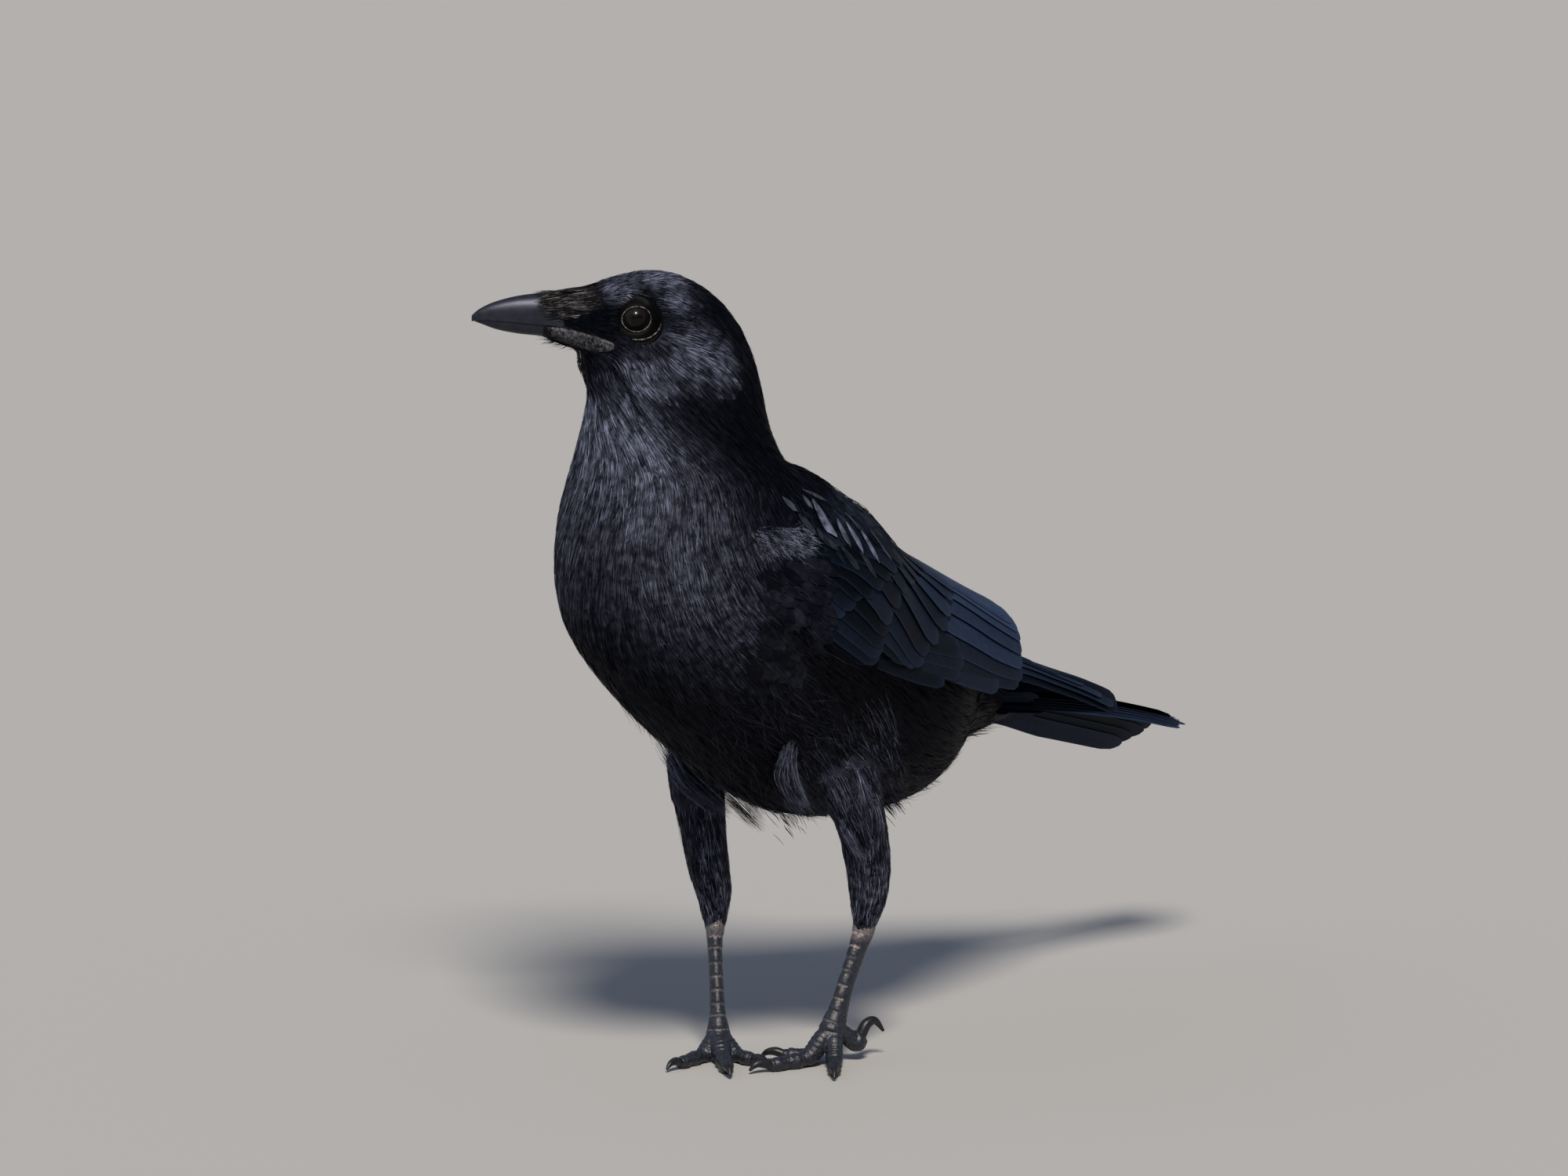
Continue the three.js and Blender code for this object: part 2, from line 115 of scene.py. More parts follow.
def shares(count):
    """Numbers evenly from 0 to 1."""
    return np.linspace(0, 1, count)


def smoothstep(low, high, value):
    """0 up to low and 1 from high on, with a smooth rise between them."""
    t = np.clip((np.asarray(value, float) - low) / (high - low), 0, 1)
    return t * t * (3 - 2 * t)


# ---- Places, from the frame ----


def middle(node):
    """The middle of a node's box, in millimetres."""
    low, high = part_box(node)
    return np.array((low + high) / 2) / MM


UPWARD = np.array([0.0, 0.0, 1.0])
EYES = {side: middle(f"eye_{side}") for side in SIDES}
HEAD_LEFT = unit(EYES["left"] - EYES["right"])
HEAD_AHEAD = np.cross(HEAD_LEFT, UPWARD)
# The head's own origin, a little ahead of and above the middle between its eyes.
HEAD_AT = (EYES["left"] + EYES["right"]) / 2 + 0.4 * HEAD_AHEAD + 1.1 * UPWARD


def place_from(origin, *parts):
    """A place given from an origin by sizes and directions. Each size may be an array."""
    return origin + sum(np.asarray(size, float)[..., None] * axis for size, axis in parts)


def on_head(ahead, left, above):
    """A place given from the head's own origin."""
    return place_from(HEAD_AT, (ahead, HEAD_AHEAD), (left, HEAD_LEFT), (above, UPWARD))


def from_head(points):
    """How far points lie ahead of, left of and above the head's own origin."""
    return (points - HEAD_AT) @ np.stack([HEAD_AHEAD, HEAD_LEFT, UPWARD], 1)


# ---- Making meshes and materials ----


def node(tree, kind, inputs=None, **settings):
    """Adds a node with its settings.

    An input is a value, the output socket that feeds it, or a node whose first output does."""
    made = tree.nodes.new(kind)
    for name, value in settings.items():
        setattr(made, name, value)
    for name, value in (inputs or {}).items():
        if isinstance(value, bpy.types.Node):
            value = value.outputs[0]
        if isinstance(value, bpy.types.NodeSocket):
            tree.links.new(value, made.inputs[name])
        else:
            made.inputs[name].default_value = value
    return made


def mesh_object(name, points, faces):
    """A mesh object from points in millimetres and an array of faces with the same number of corners."""
    corners = faces.shape[1]
    mesh = bpy.data.meshes.new(name)
    mesh.vertices.add(len(points))
    mesh.vertices.foreach_set("co", (points * MM).astype(np.float32).ravel())
    mesh.loops.add(faces.size)
    mesh.loops.foreach_set("vertex_index", faces.astype(np.int32).ravel())
    mesh.polygons.add(len(faces))
    mesh.polygons.foreach_set("loop_start", np.arange(0, faces.size, corners, dtype=np.int32))
    mesh.polygons.foreach_set("use_smooth", np.ones(len(faces), bool))
    mesh.update(calc_edges=True)
    made = bpy.data.objects.new(name, mesh)
    bpy.context.scene.collection.objects.link(made)
    return made


def set_uv(mesh, name, by_vertex):
    """A UV map with one place for each vertex."""
    corner_vertex = np.empty(len(mesh.loops), np.int32)
    mesh.loops.foreach_get("vertex_index", corner_vertex)
    layer = mesh.uv_layers.new(name=name, do_init=False)
    layer.uv.foreach_set("vector", by_vertex[corner_vertex].astype(np.float32).ravel())


def set_value(mesh, name, by_vertex):
    """A named number for each vertex, which the materials read."""
    made = mesh.attributes.new(name, "FLOAT", "POINT")
    made.data.foreach_set("value", by_vertex.astype(np.float32))


def close_ends(mesh):
    """Closes a mesh's open ends, each with one flat face."""
    shape = bmesh.new()
    shape.from_mesh(mesh)
    bmesh.ops.holes_fill(shape, edges=[edge for edge in shape.edges if edge.is_boundary], sides=0)
    bmesh.ops.recalc_face_normals(shape, faces=shape.faces)
    shape.to_mesh(mesh)
    shape.free()


def finish_piece(made, material):
    """Gives a piece its material and slot, and lets it ride on the frame's one body."""
    made.data.materials.append(material)
    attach(made, "root")
    return made


def grid_faces(rows, columns, closed=False):
    """The quads of a grid of points. A closed one joins its last column to its first."""
    wide = columns if closed else columns - 1
    row, column = np.meshgrid(np.arange(rows - 1), np.arange(wide), indexing="ij")
    beside = (column + 1) % columns
    corners = (row * columns + column, row * columns + beside, (row + 1) * columns + beside)
    return np.stack([*corners, (row + 1) * columns + column], -1).reshape(-1, 4)


# ---- Surfaces that feathers grow on ----


LEAST_PACE, LEAST_SIDE_PACE = 0.6, 0.4  # where a sheet's rows or columns crowd together


def with_across(points, normals):
    """Paths as their points, normals and directions across, each (feathers, steps, 3)."""
    return points, normals, unit(np.cross(unit(np.gradient(points, axis=1)), normals))


class Sheet:
    """A grid of points on a surface, and its normals. Rows run the way that feathers lie."""

    def __init__(self, points, closed, outward=1):
        self.points = points
        self.closed = closed
        self.rows, self.columns = points.shape[:2]
        self.along = np.gradient(points, axis=0)
        if closed:
            self.around = (np.roll(points, -1, 1) - np.roll(points, 1, 1)) / 2
        else:
            self.around = np.gradient(points, axis=1)
        self.normals = unit(np.cross(self.along, self.around)) * outward

    def at(self, row, column):
        """Points, normals and steps along and around the sheet at fractional rows and columns."""
        row = np.asarray(row, float)
        i = np.clip(np.floor(row), 0, self.rows - 2).astype(int)
        if self.closed:
            column = np.mod(column, self.columns)
            j = column.astype(int) % self.columns
        else:
            j = np.clip(np.floor(column), 0, self.columns - 2).astype(int)
        u, v = (row - i)[..., None], (column - j)[..., None]
        beside = (j + 1) % self.columns
        found = []
        for grid in (self.points, self.normals, self.along, self.around):
            near = grid[i, j] * (1 - v) + grid[i, beside] * v
            far = grid[i + 1, j] * (1 - v) + grid[i + 1, beside] * v
            found.append(near * (1 - u) + far * u)
        return found[0], unit(found[1]), found[2], found[3]

    def lines(self, row, column):
        """The same as walk for paths given by their rows and columns, each (feathers, steps)."""
        return with_across(*self.at(row, column)[:2])

    def walk(self, row, column, length, turn, steps):
        """Paths that go length along the sheet, turned from its rows' direction by turn radians."""
        step = length / (steps - 1)
        points, normals = [], []
        row, column = row.copy(), column.copy()
        for _ in range(steps):
            place, normal, along, around = self.at(row, column)
            points.append(place)
            normals.append(normal)
            pace = np.maximum(np.linalg.norm(along, axis=-1), LEAST_PACE)
            side_pace = np.maximum(np.linalg.norm(around, axis=-1), LEAST_SIDE_PACE)
            row = row + step * np.cos(turn) / pace
            column = column + step * np.sin(turn) / side_pace
        return with_across(np.stack(points, 1), np.stack(normals, 1))


def fuse(parts, voxel, smoothing=0):
    """One closed mesh round several closed parts, each given as its points and faces."""
    points, faces, shift = [], [], 0
    for part_points, part_faces in parts:
        points.append(part_points)
        faces += [tuple(int(i) + shift for i in face) for face in part_faces]
        shift += len(part_points)
    mesh = bpy.data.meshes.new("parts")
    mesh.from_pydata(np.concatenate(points) * MM, [], faces)
    made = bpy.data.objects.new("parts", mesh)
    bpy.context.scene.collection.objects.link(made)
    remesh = made.modifiers.new("remesh", "REMESH")
    remesh.mode = "VOXEL"
    remesh.voxel_size = voxel * MM
    if smoothing:
        smooth = made.modifiers.new("smooth", "SMOOTH")
        smooth.iterations = smoothing
    ready = made.evaluated_get(bpy.context.evaluated_depsgraph_get())
    result = bpy.data.meshes.new_from_object(ready)
    bpy.data.objects.remove(made)
    bpy.data.meshes.remove(mesh)
    return result


def node_part(name, swell=0.3):
    """A node's points and faces, swollen a little to bridge the gap to its neighbours."""
    part = bmesh.new()
    part.from_mesh(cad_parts[name].data)
    bmesh.ops.remove_doubles(part, verts=part.verts, dist=1e-6)
    part.normal_update()
    part.verts.index_update()
    points = np.array([v.co / MM + v.normal * swell for v in part.verts])
    faces = [tuple(v.index for v in face.verts) for face in part.faces]
    part.free()
    return points, faces


def tree_of(mesh):
    """A search tree of a mesh's faces, in millimetres."""
    places = [tuple(c / MM for c in v.co) for v in mesh.vertices]
    return BVHTree.FromPolygons(places, [tuple(p.vertices) for p in mesh.polygons])


def blur(grid, size, closed):
    """A grid of numbers smoothed along its rows and its columns by a small bell."""
    reach = np.arange(-3 * size, 3 * size + 1)
    bell = np.exp(-0.5 * (reach / size) ** 2)
    bell /= bell.sum()
    pad = len(reach) // 2
    for axis, wraps in ((0, False), (1, closed)):
        sides = [(0, 0), (0, 0)]
        sides[axis] = (pad, pad)
        padded = np.pad(grid, sides, mode="wrap" if wraps else "edge")
        grid = np.apply_along_axis(lambda line: np.convolve(line, bell, "valid"), axis, padded)
    return grid


# The body's axis, from the bill's base to the tail's. Each section has its middle and lies square to
# its pitch, from level at the bill to past upright at the neck.
HEAD_SECTIONS = [  # ahead, above, pitch, turn of the head
    (30, -1.8, 0, 42),
    (20, -3, 12, 42),
    (12.5, -2.5, 28, 42),
    (2.6, -4, 46, 42),
    (-8, -12, 65, 42),
    (-14.5, -25, 84, 38),
    (-18.5, -41, 98, 24),
]
TRUNK_SECTIONS = [  # Y, Z, pitch
    (-123, 256, 94.6),
    (-118.7, 236.7, 77.5),
    (-104.4, 213.7, 68.8),
    (-73.7, 188.2, 58.9),
    (-42.9, 163, 46.7),
    (-20.7, 144.2, 42.8),
    (-1, 131.8, 41.4),
    (15.3, 125.5, 35.4),
    (29.3, 125.5, 28),
    (42.3, 129.5, 23),
    (62.3, 127, 15.3),
]
RINGS_BETWEEN = 12
AROUND = 120


def section_axes(turn, pitch):
    """Left and dorsal directions of sections turned to the right and pitched up, in degrees."""
    t, p = np.radians(turn), np.radians(pitch)
    left = np.stack([np.cos(t), -np.sin(t), 0 * t], -1)
    dorsal = np.stack([np.sin(t) * np.sin(p), np.cos(t) * np.sin(p), np.cos(p)], -1)
    return left, dorsal


def wrap(form, middles, left, dorsal, around, soften):
    """Points where rays from each middle leave a form. The first column is dorsal, then leftward."""
    angles = turns(around)
    rays = np.cos(angles)[:, None] * dorsal[:, None] + np.sin(angles)[:, None] * left[:, None]
    reach = np.zeros(rays.shape[:2])
    for i, start in enumerate(middles):
        for j in range(around):
            hit = form.ray_cast(Vector(start), Vector(rays[i, j]))
            reach[i, j] = hit[3] if hit[0] is not None else reach[i - 1, j]
    return middles[:, None] + rays * blur(reach, soften, True)[..., None]


def body_sheet():
    """The outer surface of head, neck and trunk as a closed sheet, and its section numbers."""
    head = [(*on_head(ahead, 0, above), turn, pitch) for ahead, above, pitch, turn in HEAD_SECTIONS]
    trunk = [(0, y, z, 0, pitch) for y, z, pitch in TRUNK_SECTIONS]
    rows = between(head + trunk, RINGS_BETWEEN)
    left, dorsal = section_axes(rows[:, 3], rows[:, 4])
    form = tree_of(fuse([node_part(name) for name in ("head", "neck", "trunk")], 1.5))
    return Sheet(wrap(form, rows[:, :3], left, dorsal, AROUND, 2), True, -1)


BODY = body_sheet()


def body_root(row, column):
    """Places on the body's unwrapped map."""
    return np.stack([column / AROUND, row / BODY.rows], -1)


# ---- Feathers ----


def along(path, share):
    """Points of paths (n, steps, 3) at shares (n, rows, columns) of their length."""
    steps = path.shape[1]
    place = np.clip(share, 0, 1) * (steps - 1)
    i = np.minimum(place.astype(int), steps - 2)
    t = (place - i)[..., None]
    n = np.arange(len(path))[:, None, None]
    return path[n, i] * (1 - t) + path[n, i + 1] * t


def outline(*points):
    """A feather's width as a function of the share along it, through (share, width) points."""
    return lambda share: np.interp(share, *zip(*points))


# Body feather, lance-shaped feather, strand that tapers to its tip, and flight feather with its quill.
ovate = outline((0, 0.35), (0.25, 0.8), (0.6, 1), (0.85, 0.95), (1, 0.7))
lance_wide = outline((0, 0.3), (0.25, 0.8), (0.5, 1), (0.8, 0.85), (1, 0.35))
lance = outline((0, 0.6), (0.3, 1), (0.7, 0.75), (1, 0.12))
remex = outline((0, 0.45), (0.25, 0.85), (0.6, 1), (0.9, 0.97), (1, 0.9))

PATCH = 0.003  # a tuft's share of the coat's map, each way


class Tufts:
    """Many feathers or strands of one grid size, gathered to become one mesh."""

    def __init__(self):
        self.blocks = []

    def add(self, paths, half, reach, width, rise, roll, camber, tone, root):
        """Feathers on paths = (points, normals, across).

        half is each one's half width, reach (n, columns) the share of its length that each column
        has, width a function of the share along, rise (n, rows) its height over the path's surface,
        roll its turn about its shaft and tone how pale it is. root is its place on the coat's map."""
        points, normals, across = paths
        n, columns = reach.shape
        rows = rise.shape[1]
        share = shares(rows)[None, :, None] * reach[:, None, :]
        side = np.linspace(-1, 1, columns)[None, None, :]
        spread = np.broadcast_to(half, n)[:, None, None] * width(share) * side
        height = along(rise[..., None], share)[..., 0]
        lean = np.tan(np.clip(np.broadcast_to(roll, n), -0.8, 0.8))
        height = height + spread * lean[:, None, None]
        height = height - camber * np.abs(spread) * np.abs(side)
        placed = along(points, share) + along(across, share) * spread[..., None]
        placed = placed + along(normals, share) * height[..., None]
        length = np.linalg.norm(np.diff(points, axis=1), axis=-1).sum(1)
        vane = np.stack([spread, share * length[:, None, None]], -1)
        root = np.broadcast_to(root, (n, 2))
        side = np.broadcast_to(side, share.shape)
        edge = np.maximum(np.abs(side) ** 9, shares(rows)[None, :, None] ** 24)
        self.blocks.append((placed, vane, np.broadcast_to(tone, n), root, side, edge))

    def add_strands(self, paths, half, rise, roll, tone, root):
        """Thin strands that taper to their tips, all as long as their paths."""
        self.add(paths, half, np.ones((len(half), 2)), lance, rise, roll, 0, tone, root)

    def build(self, name, material, slot):
        """One object of all that was added."""
        places, faces, vanes, tones, edges, patches, count = [], [], [], [], [], [], 0
        everywhere = np.concatenate([block[3] for block in self.blocks])
        low, span = everywhere.min(0), np.maximum(np.ptp(everywhere, axis=0), 1e-6)
        for placed, vane, tone, root, side, edge in self.blocks:
            n, rows, columns = placed.shape[:3]
            each = rows * columns
            grid = grid_faces(rows, columns)
            faces.append((grid[None] + (count + np.arange(n) * each)[:, None, None]).reshape(-1, 4))
            count += n * each
            places.append(placed.reshape(-1, 3))
            vanes.append(vane.reshape(-1, 2))
            tones.append(np.repeat(tone, each))
            edges.append(edge.ravel())
            ahead = np.broadcast_to(np.linspace(-1, 1, rows)[None, :, None], side.shape)
            patch = PATCH / 2 * np.stack([side, ahead], -1)
            centre = PATCH + (1 - 2 * PATCH) * (root - low) / span
            patches.append((centre[:, None, None] + patch).reshape(-1, 2))
        made = mesh_object(name, np.concatenate(places), np.concatenate(faces))
        set_uv(made.data, "Vane", np.concatenate(vanes))
        set_uv(made.data, "OFBake", np.concatenate(patches))
        set_value(made.data, "tone", np.concatenate(tones))
        set_value(made.data, "edge", np.concatenate(edges))
        return finish_piece(made, material)


TRIES = 4  # places drawn for each one that fits
CROWDED = 0.8  # the share of their distance apart that two places need


def even(apart):
    """The same distance apart everywhere, as scatter and Bulk.spread take it."""
    return lambda places, *_: np.full(len(places), float(apart))


def scatter(sheet, spacing, keep, rng, tries=TRIES):
    """Rows and columns of places on a sheet about spacing apart, where keep says so.

    spacing is a function of rows and columns, and keep one of rows, columns and points."""
    row, column = np.meshgrid(np.arange(sheet.rows - 1), np.arange(sheet.columns), indexing="ij")
    row, column = row.ravel() + 0.5, column.ravel() + 0.5
    _, _, step_along, step_around = sheet.at(row, column)
    area = np.linalg.norm(np.cross(step_along, step_around), axis=-1)
    apart = spacing(row, column)
    density = area / apart**2
    count = int(tries * density.sum())
    chosen = rng.choice(len(row), count, p=density / density.sum())
    row = row[chosen] + rng.uniform(-0.5, 0.5, count)
    column = column[chosen] + rng.uniform(-0.5, 0.5, count)
    points = sheet.at(row, column)[0]
    wanted = keep(row, column, points)
    row, column = row[wanted], column[wanted]
    taken = thin_out(points[wanted], spacing(row, column))
    return row[taken], column[taken]


def thin_out(points, apart):
    """Which points to take so that no two lie nearer than most of their distance apart."""
    tree = search_tree(points)
    free = np.ones(len(points), bool)
    taken = []
    for i, place in enumerate(points):
        if not free[i]:
            continue
        taken.append(i)
        for _, j, _ in tree.find_range(place, apart[i] * CROWDED):
            free[j] = False
    return np.array(taken)


def search_tree(points):
    """A tree that finds the points near a place."""
    tree = KDTree(len(points))
    for i, place in enumerate(points):
        tree.insert(place, i)
    tree.balance()
    return tree


class Bulk:
    """A whole closed form, over which feathers can be draped in any direction."""

    def __init__(self, mesh):
        self.tree = tree_of(mesh)
        points = np.array([v.co for v in mesh.vertices]) / MM
        self.quads = points[np.array([tuple(p.vertices) for p in mesh.polygons])]
        a, b, c, d = (self.quads[:, k] for k in range(4))
        crossed = np.cross(c - a, d - b)
        self.areas = np.linalg.norm(crossed, axis=1) / 2
        self.normals = unit(crossed)

    def spread(self, apart, keep, rng):
        """Places about apart(points) from each other, where keep(points, normals) says so."""
        centres = self.quads.mean(1)
        wanted = np.flatnonzero(keep(centres, self.normals))
        density = self.areas[wanted] / apart(centres[wanted]) ** 2
        chosen = rng.choice(len(wanted), int(TRIES * density.sum()), p=density / density.sum())
        chosen = wanted[chosen]
        u, v = rng.uniform(0, 1, (2, len(chosen), 1))
        a, b, c, d = (self.quads[chosen, k] for k in range(4))
        points = (a * (1 - u) + b * u) * (1 - v) + (d * (1 - u) + c * u) * v
        return points[thin_out(points, apart(points))]

    def drape(self, roots, heading, length, steps):
        """Paths over the form from each root, along heading(points). It gives what Sheet.walk does."""
        place = roots.copy()
        points, normals = [], []
        step = (np.broadcast_to(length, len(roots)) / (steps - 1))[:, None]
        for _ in range(steps):
            found = [self.tree.find_nearest(Vector(p)) for p in place]
            place = np.array([hit[0] for hit in found])
            normal = np.array([hit[1] for hit in found])
            points.append(place)
            normals.append(normal)
            ahead = heading(place)
            ahead = unit(ahead - (ahead * normal).sum(1)[:, None] * normal)
            place = place + ahead * step
        points, normals = np.stack(points, 1), np.stack(normals, 1)
        before = np.roll(normals, 1, 1)
        before[:, 0] = 0
        return with_across(points, unit(normals + before + normals.mean(1)[:, None]))


# Body feathers by section number, from the bill's base to the tail's base.
COAT = {
    "section": [0, 2, 3, 4, 5, 6, 7, 8, 9, 11, 13, 15, 17],
    "length": [4, 6, 8, 11, 14, 17, 20, 23, 25, 26, 25, 23, 20],
    "half": [0.7, 0.9, 1.1, 1.5, 1.9, 2.4, 3.1, 3.9, 4.4, 4.6, 4.4, 4, 3.6],
    "apart": [1.2, 1.4, 1.6, 2, 2.4, 2.8, 3.4, 4.1, 4.5, 4.8, 4.6, 4.2, 3.6],
    "depth": [0.6, 0.9, 1.2, 1.6, 2, 2.2, 2.4, 2.6, 2.8, 3, 3, 2.6, 1.6],
}


def coat_value(name, row):
    """A size of the body feathers at rows of the body."""
    return np.interp(np.asarray(row) / RINGS_BETWEEN, COAT["section"], COAT[name])


# Where the plumage is painted paler: in part worn feathers, in part painted highlight where sunlit feathers
# gleam. Section, degrees from the back, reach of each, and how much. Everything else is near black.
WORN_AND_SHEEN_SPOTS = [
    (6.1, 165, 1.2, 30, 0.66),
    (7.8, 150, 1.3, 34, 0.1),
    (8.3, 131, 1.1, 24, 0.22),
]
WORN_AND_SHEEN_LEAST = 0.008
# The same on the head, in part wear and in part painted highlight on ear, cheek, brow and crown: ahead,
# above, reach of each, and how much.
HEAD_WORN_AND_SHEEN = [
    (-20, -13, 10, 8, 0.74),  # ear
    (-31, -18, 6, 5, 0.55),  # the ear's rear edge
    (1, -20.5, 9, 6.5, 0.8),  # cheek
    (8, 9, 6, 3, 0.75),  # brow
    (-8, 14.5, 11, 2.6, 0.8),  # crown
    (-13, 7, 6, 4.6, 0.6),  # behind the brow
]
# Ovals on the side of the head: where feathers fan away from the eye, and the bare skin round it.
EAR_FAN = {"ahead": -19, "above": -12, "long": 15, "tall": 13}
EYE_BARE = {"ahead": -2.2, "above": -2.6, "long": 8.9, "tall": 7.1}
MOST_FAN = 1.3  # radians


def oval_reach(place, oval):
    """0 in the middle of an oval on the side of the head, 1 on its edge, and more outside it."""
    gap = ((place[:, 0] - oval["ahead"]) / oval["long"]) ** 2
    return gap + ((place[:, 2] - oval["above"]) / oval["tall"]) ** 2


def with_spots(total, u, v, spots):
    """A total with soft spots added, each given by its middle, its reach both ways and its gain."""
    for at_u, at_v, reach_u, reach_v, gain in spots:
        away = ((u - at_u) / reach_u) ** 2 + ((v - at_v) / reach_v) ** 2
        total = total + gain * np.exp(-away)
    return total


def worn_and_sheen(row, column):
    """How pale the plumage is painted at places on the body: in part wear, in part painted highlight."""
    section = np.asarray(row) / RINGS_BETWEEN
    degrees = np.mod(np.asarray(column) * 360 / AROUND, 360)
    degrees = np.minimum(degrees, 360 - degrees)
    total = with_spots(WORN_AND_SHEEN_LEAST + 0 * section, section, degrees, WORN_AND_SHEEN_SPOTS)
    place = from_head(BODY.at(row, column)[0])
    return with_spots(total, place[:, 0], place[:, 2], HEAD_WORN_AND_SHEEN)


def ear_turn(row, column):
    """How far feathers behind the eye turn from the body's run to fan away from the eye."""
    points, _, along_step, around_step = BODY.at(row, column)
    place = from_head(points)
    away = place - [-0.4, 0, 0]
    fan = unit(away[:, :1] * HEAD_AHEAD + away[:, 2:] * UPWARD)
    turn = np.arctan2((fan * unit(around_step)).sum(1), (fan * unit(along_step)).sum(1))
    return np.clip(turn, -MOST_FAN, MOST_FAN) * np.exp(-(oval_reach(place, EAR_FAN) ** 2))


# The groove that runs back and down from the jaw, between the throat's feathers and the cheek's, as
# distances ahead of and above the head's origin.
GROOVE = [(16, -17.5), (12, -21), (6.5, -26), (2, -33), (-1.5, -42)]
GROOVE_HALF = 2.1
GROOVE_DEPTH = 2.2


def groove_share(points):
    """1 in the middle of the throat's groove, falling to 0 beside it."""
    place = from_head(points)
    nearest = np.full(len(points), 99.0)
    for ahead, above in between(GROOVE, 6):
        nearest = np.minimum(nearest, np.hypot(place[:, 0] - ahead, place[:, 2] - above))
    return np.exp(-((nearest / GROOVE_HALF) ** 2)) * (np.abs(place[:, 1]) > 2)


def bare_face(points):
    """Whether places lie on the eye, on the bare plate at the gape or under the bill's bristles."""
    place = from_head(points)
    ahead, left, above = place.T
    top, bottom = plate_edges(ahead)
    on_bill = (ahead > 25 - 10 * smoothstep(-2, 5, above)) & (above > -4.5)
    on_plate = (ahead > PLATE_REAR) & (above < top) & (above > bottom + PLATE_HIDDEN)
    return on_bill | ((oval_reach(place, EYE_BARE) < 1) | on_plate) & (np.abs(left) > 4.5)


PLATE = [  # the bare plate at the bill's root: ahead, top edge, bottom edge
    (36, -3.9, -9.8),
    (31, -4.3, -12),
    (25.8, -4.9, -14.2),
    (17.7, -6.6, -15.4),
    (12, -8.6, -14.6),
    (7.7, -10.8, -12.6),
]
PLATE_REAR = 7
PLATE_HIDDEN = 1.3  # how much of its lower edge the throat's feathers cover


def plate_edges(ahead):
    """The heights of the plate's top and bottom edges."""
    stations = np.array(PLATE[::-1], float)
    return tuple(np.interp(ahead, stations[:, 0], stations[:, k]) for k in (1, 2))


def clear_of_face(row, column, length, turn, steps):
    """Paths along the body that stop short of the eye and the bare plate."""
    tried = 7
    points = BODY.walk(row, column, length, turn, tried + 1)[0]
    inside = bare_face(points[:, 1:].reshape(-1, 3)).reshape(len(points), tried)
    share = np.where(inside.any(1), (inside.argmax(1) + 0.3) / tried, 1)
    return BODY.walk(row, column, length * np.maximum(share, 0.15), turn, steps)


def lay_body_feathers(tufts, row, column, rng):
    """Broad, overlapping body feathers with frayed tips, each rising from under the one before."""
    n = len(row)
    length = coat_value("length", row) * rng.uniform(0.85, 1.15, n)
    half = coat_value("half", row) * rng.uniform(0.85, 1.15, n)
    depth = coat_value("depth", row)
    paths = clear_of_face(row, column, length, ear_turn(row, column) + rng.normal(0, 0.1, n), 6)
    groove = groove_share(paths[0][:, 3])
    side = np.linspace(-1, 1, 6)
    reach = 1 - 0.3 * np.abs(side) ** 2.2 - rng.uniform(0, 0.16, (n, 6))
    share = shares(5)
    lift = rng.uniform(-0.1, 0.35, n)[:, None] * share**2
    rise = depth[:, None] * (share[None] ** 0.8 - 1) + lift + 0.05 - GROOVE_DEPTH * groove[:, None]
    # The feathers in the groove are painted darker: painted shade in the crease.
    tone = np.clip(worn_and_sheen(row, column) * rng.uniform(0.1, 1.2, n), 0, 1) * (1 - groove)
    roll = rng.normal(0, 0.08, n)
    tufts.add(paths, half, reach, ovate, rise, roll, 0.14, tone, body_root(row, column))


def lay_strands(tufts, row, column, rng):
    """Thin loose barbs that lie over the body feathers."""
    n = len(row)
    length = coat_value("length", row) * rng.uniform(0.45, 0.75, n)
    half = rng.uniform(0.16, 0.4, n)
    half = half * np.interp(row / RINGS_BETWEEN, [0, 4, 9, 17], [0.3, 0.42, 0.7, 0.8])
    paths = clear_of_face(row, column, length, ear_turn(row, column) + rng.normal(0, 0.12, n), 4)
    share = shares(4)
    groove = groove_share(paths[0][:, 2])
    start = -0.25 * coat_value("depth", row) - GROOVE_DEPTH * groove
    lift = rng.uniform(0.1, 0.7, n) - GROOVE_DEPTH * groove
    rise = start[:, None] + (lift - start)[:, None] * share[None] ** 0.7
    # The strands in the groove are painted darker: painted shade in the crease.
    tone = np.clip(worn_and_sheen(row, column) * rng.uniform(0.3, 1.5, n) ** 2, 0, 1) * (1 - groove)
    tufts.add_strands(paths, half, rise, rng.normal(0, 0.5, n), tone, body_root(row, column))


# ---- Materials ----


def surface(looks, name=None):
    """The material that looks describes, made the first time. looks(tree) gives its shader's inputs."""
    name = name or looks.__name__
    if name in bpy.data.materials:
        return bpy.data.materials[name]
    made = bpy.data.materials.new(name)
    made.use_nodes = True
    made.node_tree.nodes.clear()
    shader = node(made.node_tree, "ShaderNodeBsdfPrincipled", looks(made.node_tree))
    node(made.node_tree, "ShaderNodeOutputMaterial", {"Surface": shader})
    return made


def speckle(tree, per_mm, detail=3.0):
    """Noise that stays fixed to the piece, with so many lumps to a millimetre."""
    place = node(tree, "ShaderNodeTexCoord").outputs["Object"]
    return node(tree, "ShaderNodeTexNoise", {"Vector": place, "Scale": per_mm / MM, "Detail": detail})


def grain(tree, per_mm, strength, height):
    """The normals of a surface with fine lumps, so many to a millimetre and height millimetres high."""
    values = {"Height": speckle(tree, per_mm), "Strength": strength, "Distance": height * MM}
    return node(tree, "ShaderNodeBump", values)


def ramp(tree, value, dark, light, low=0.3, high=0.7):
    """A colour from dark to light as value goes from low to high. dark may be a socket."""
    share = node(tree, "ShaderNodeMapRange", {"Value": value, "From Min": low, "From Max": high})
    start = (*linear(dark), 1) if isinstance(dark, str) else dark
    colours = {"Factor": share, "A": start, "B": (*linear(light), 1)}
    return node(tree, "ShaderNodeMix", colours, data_type="RGBA").outputs["Result"]


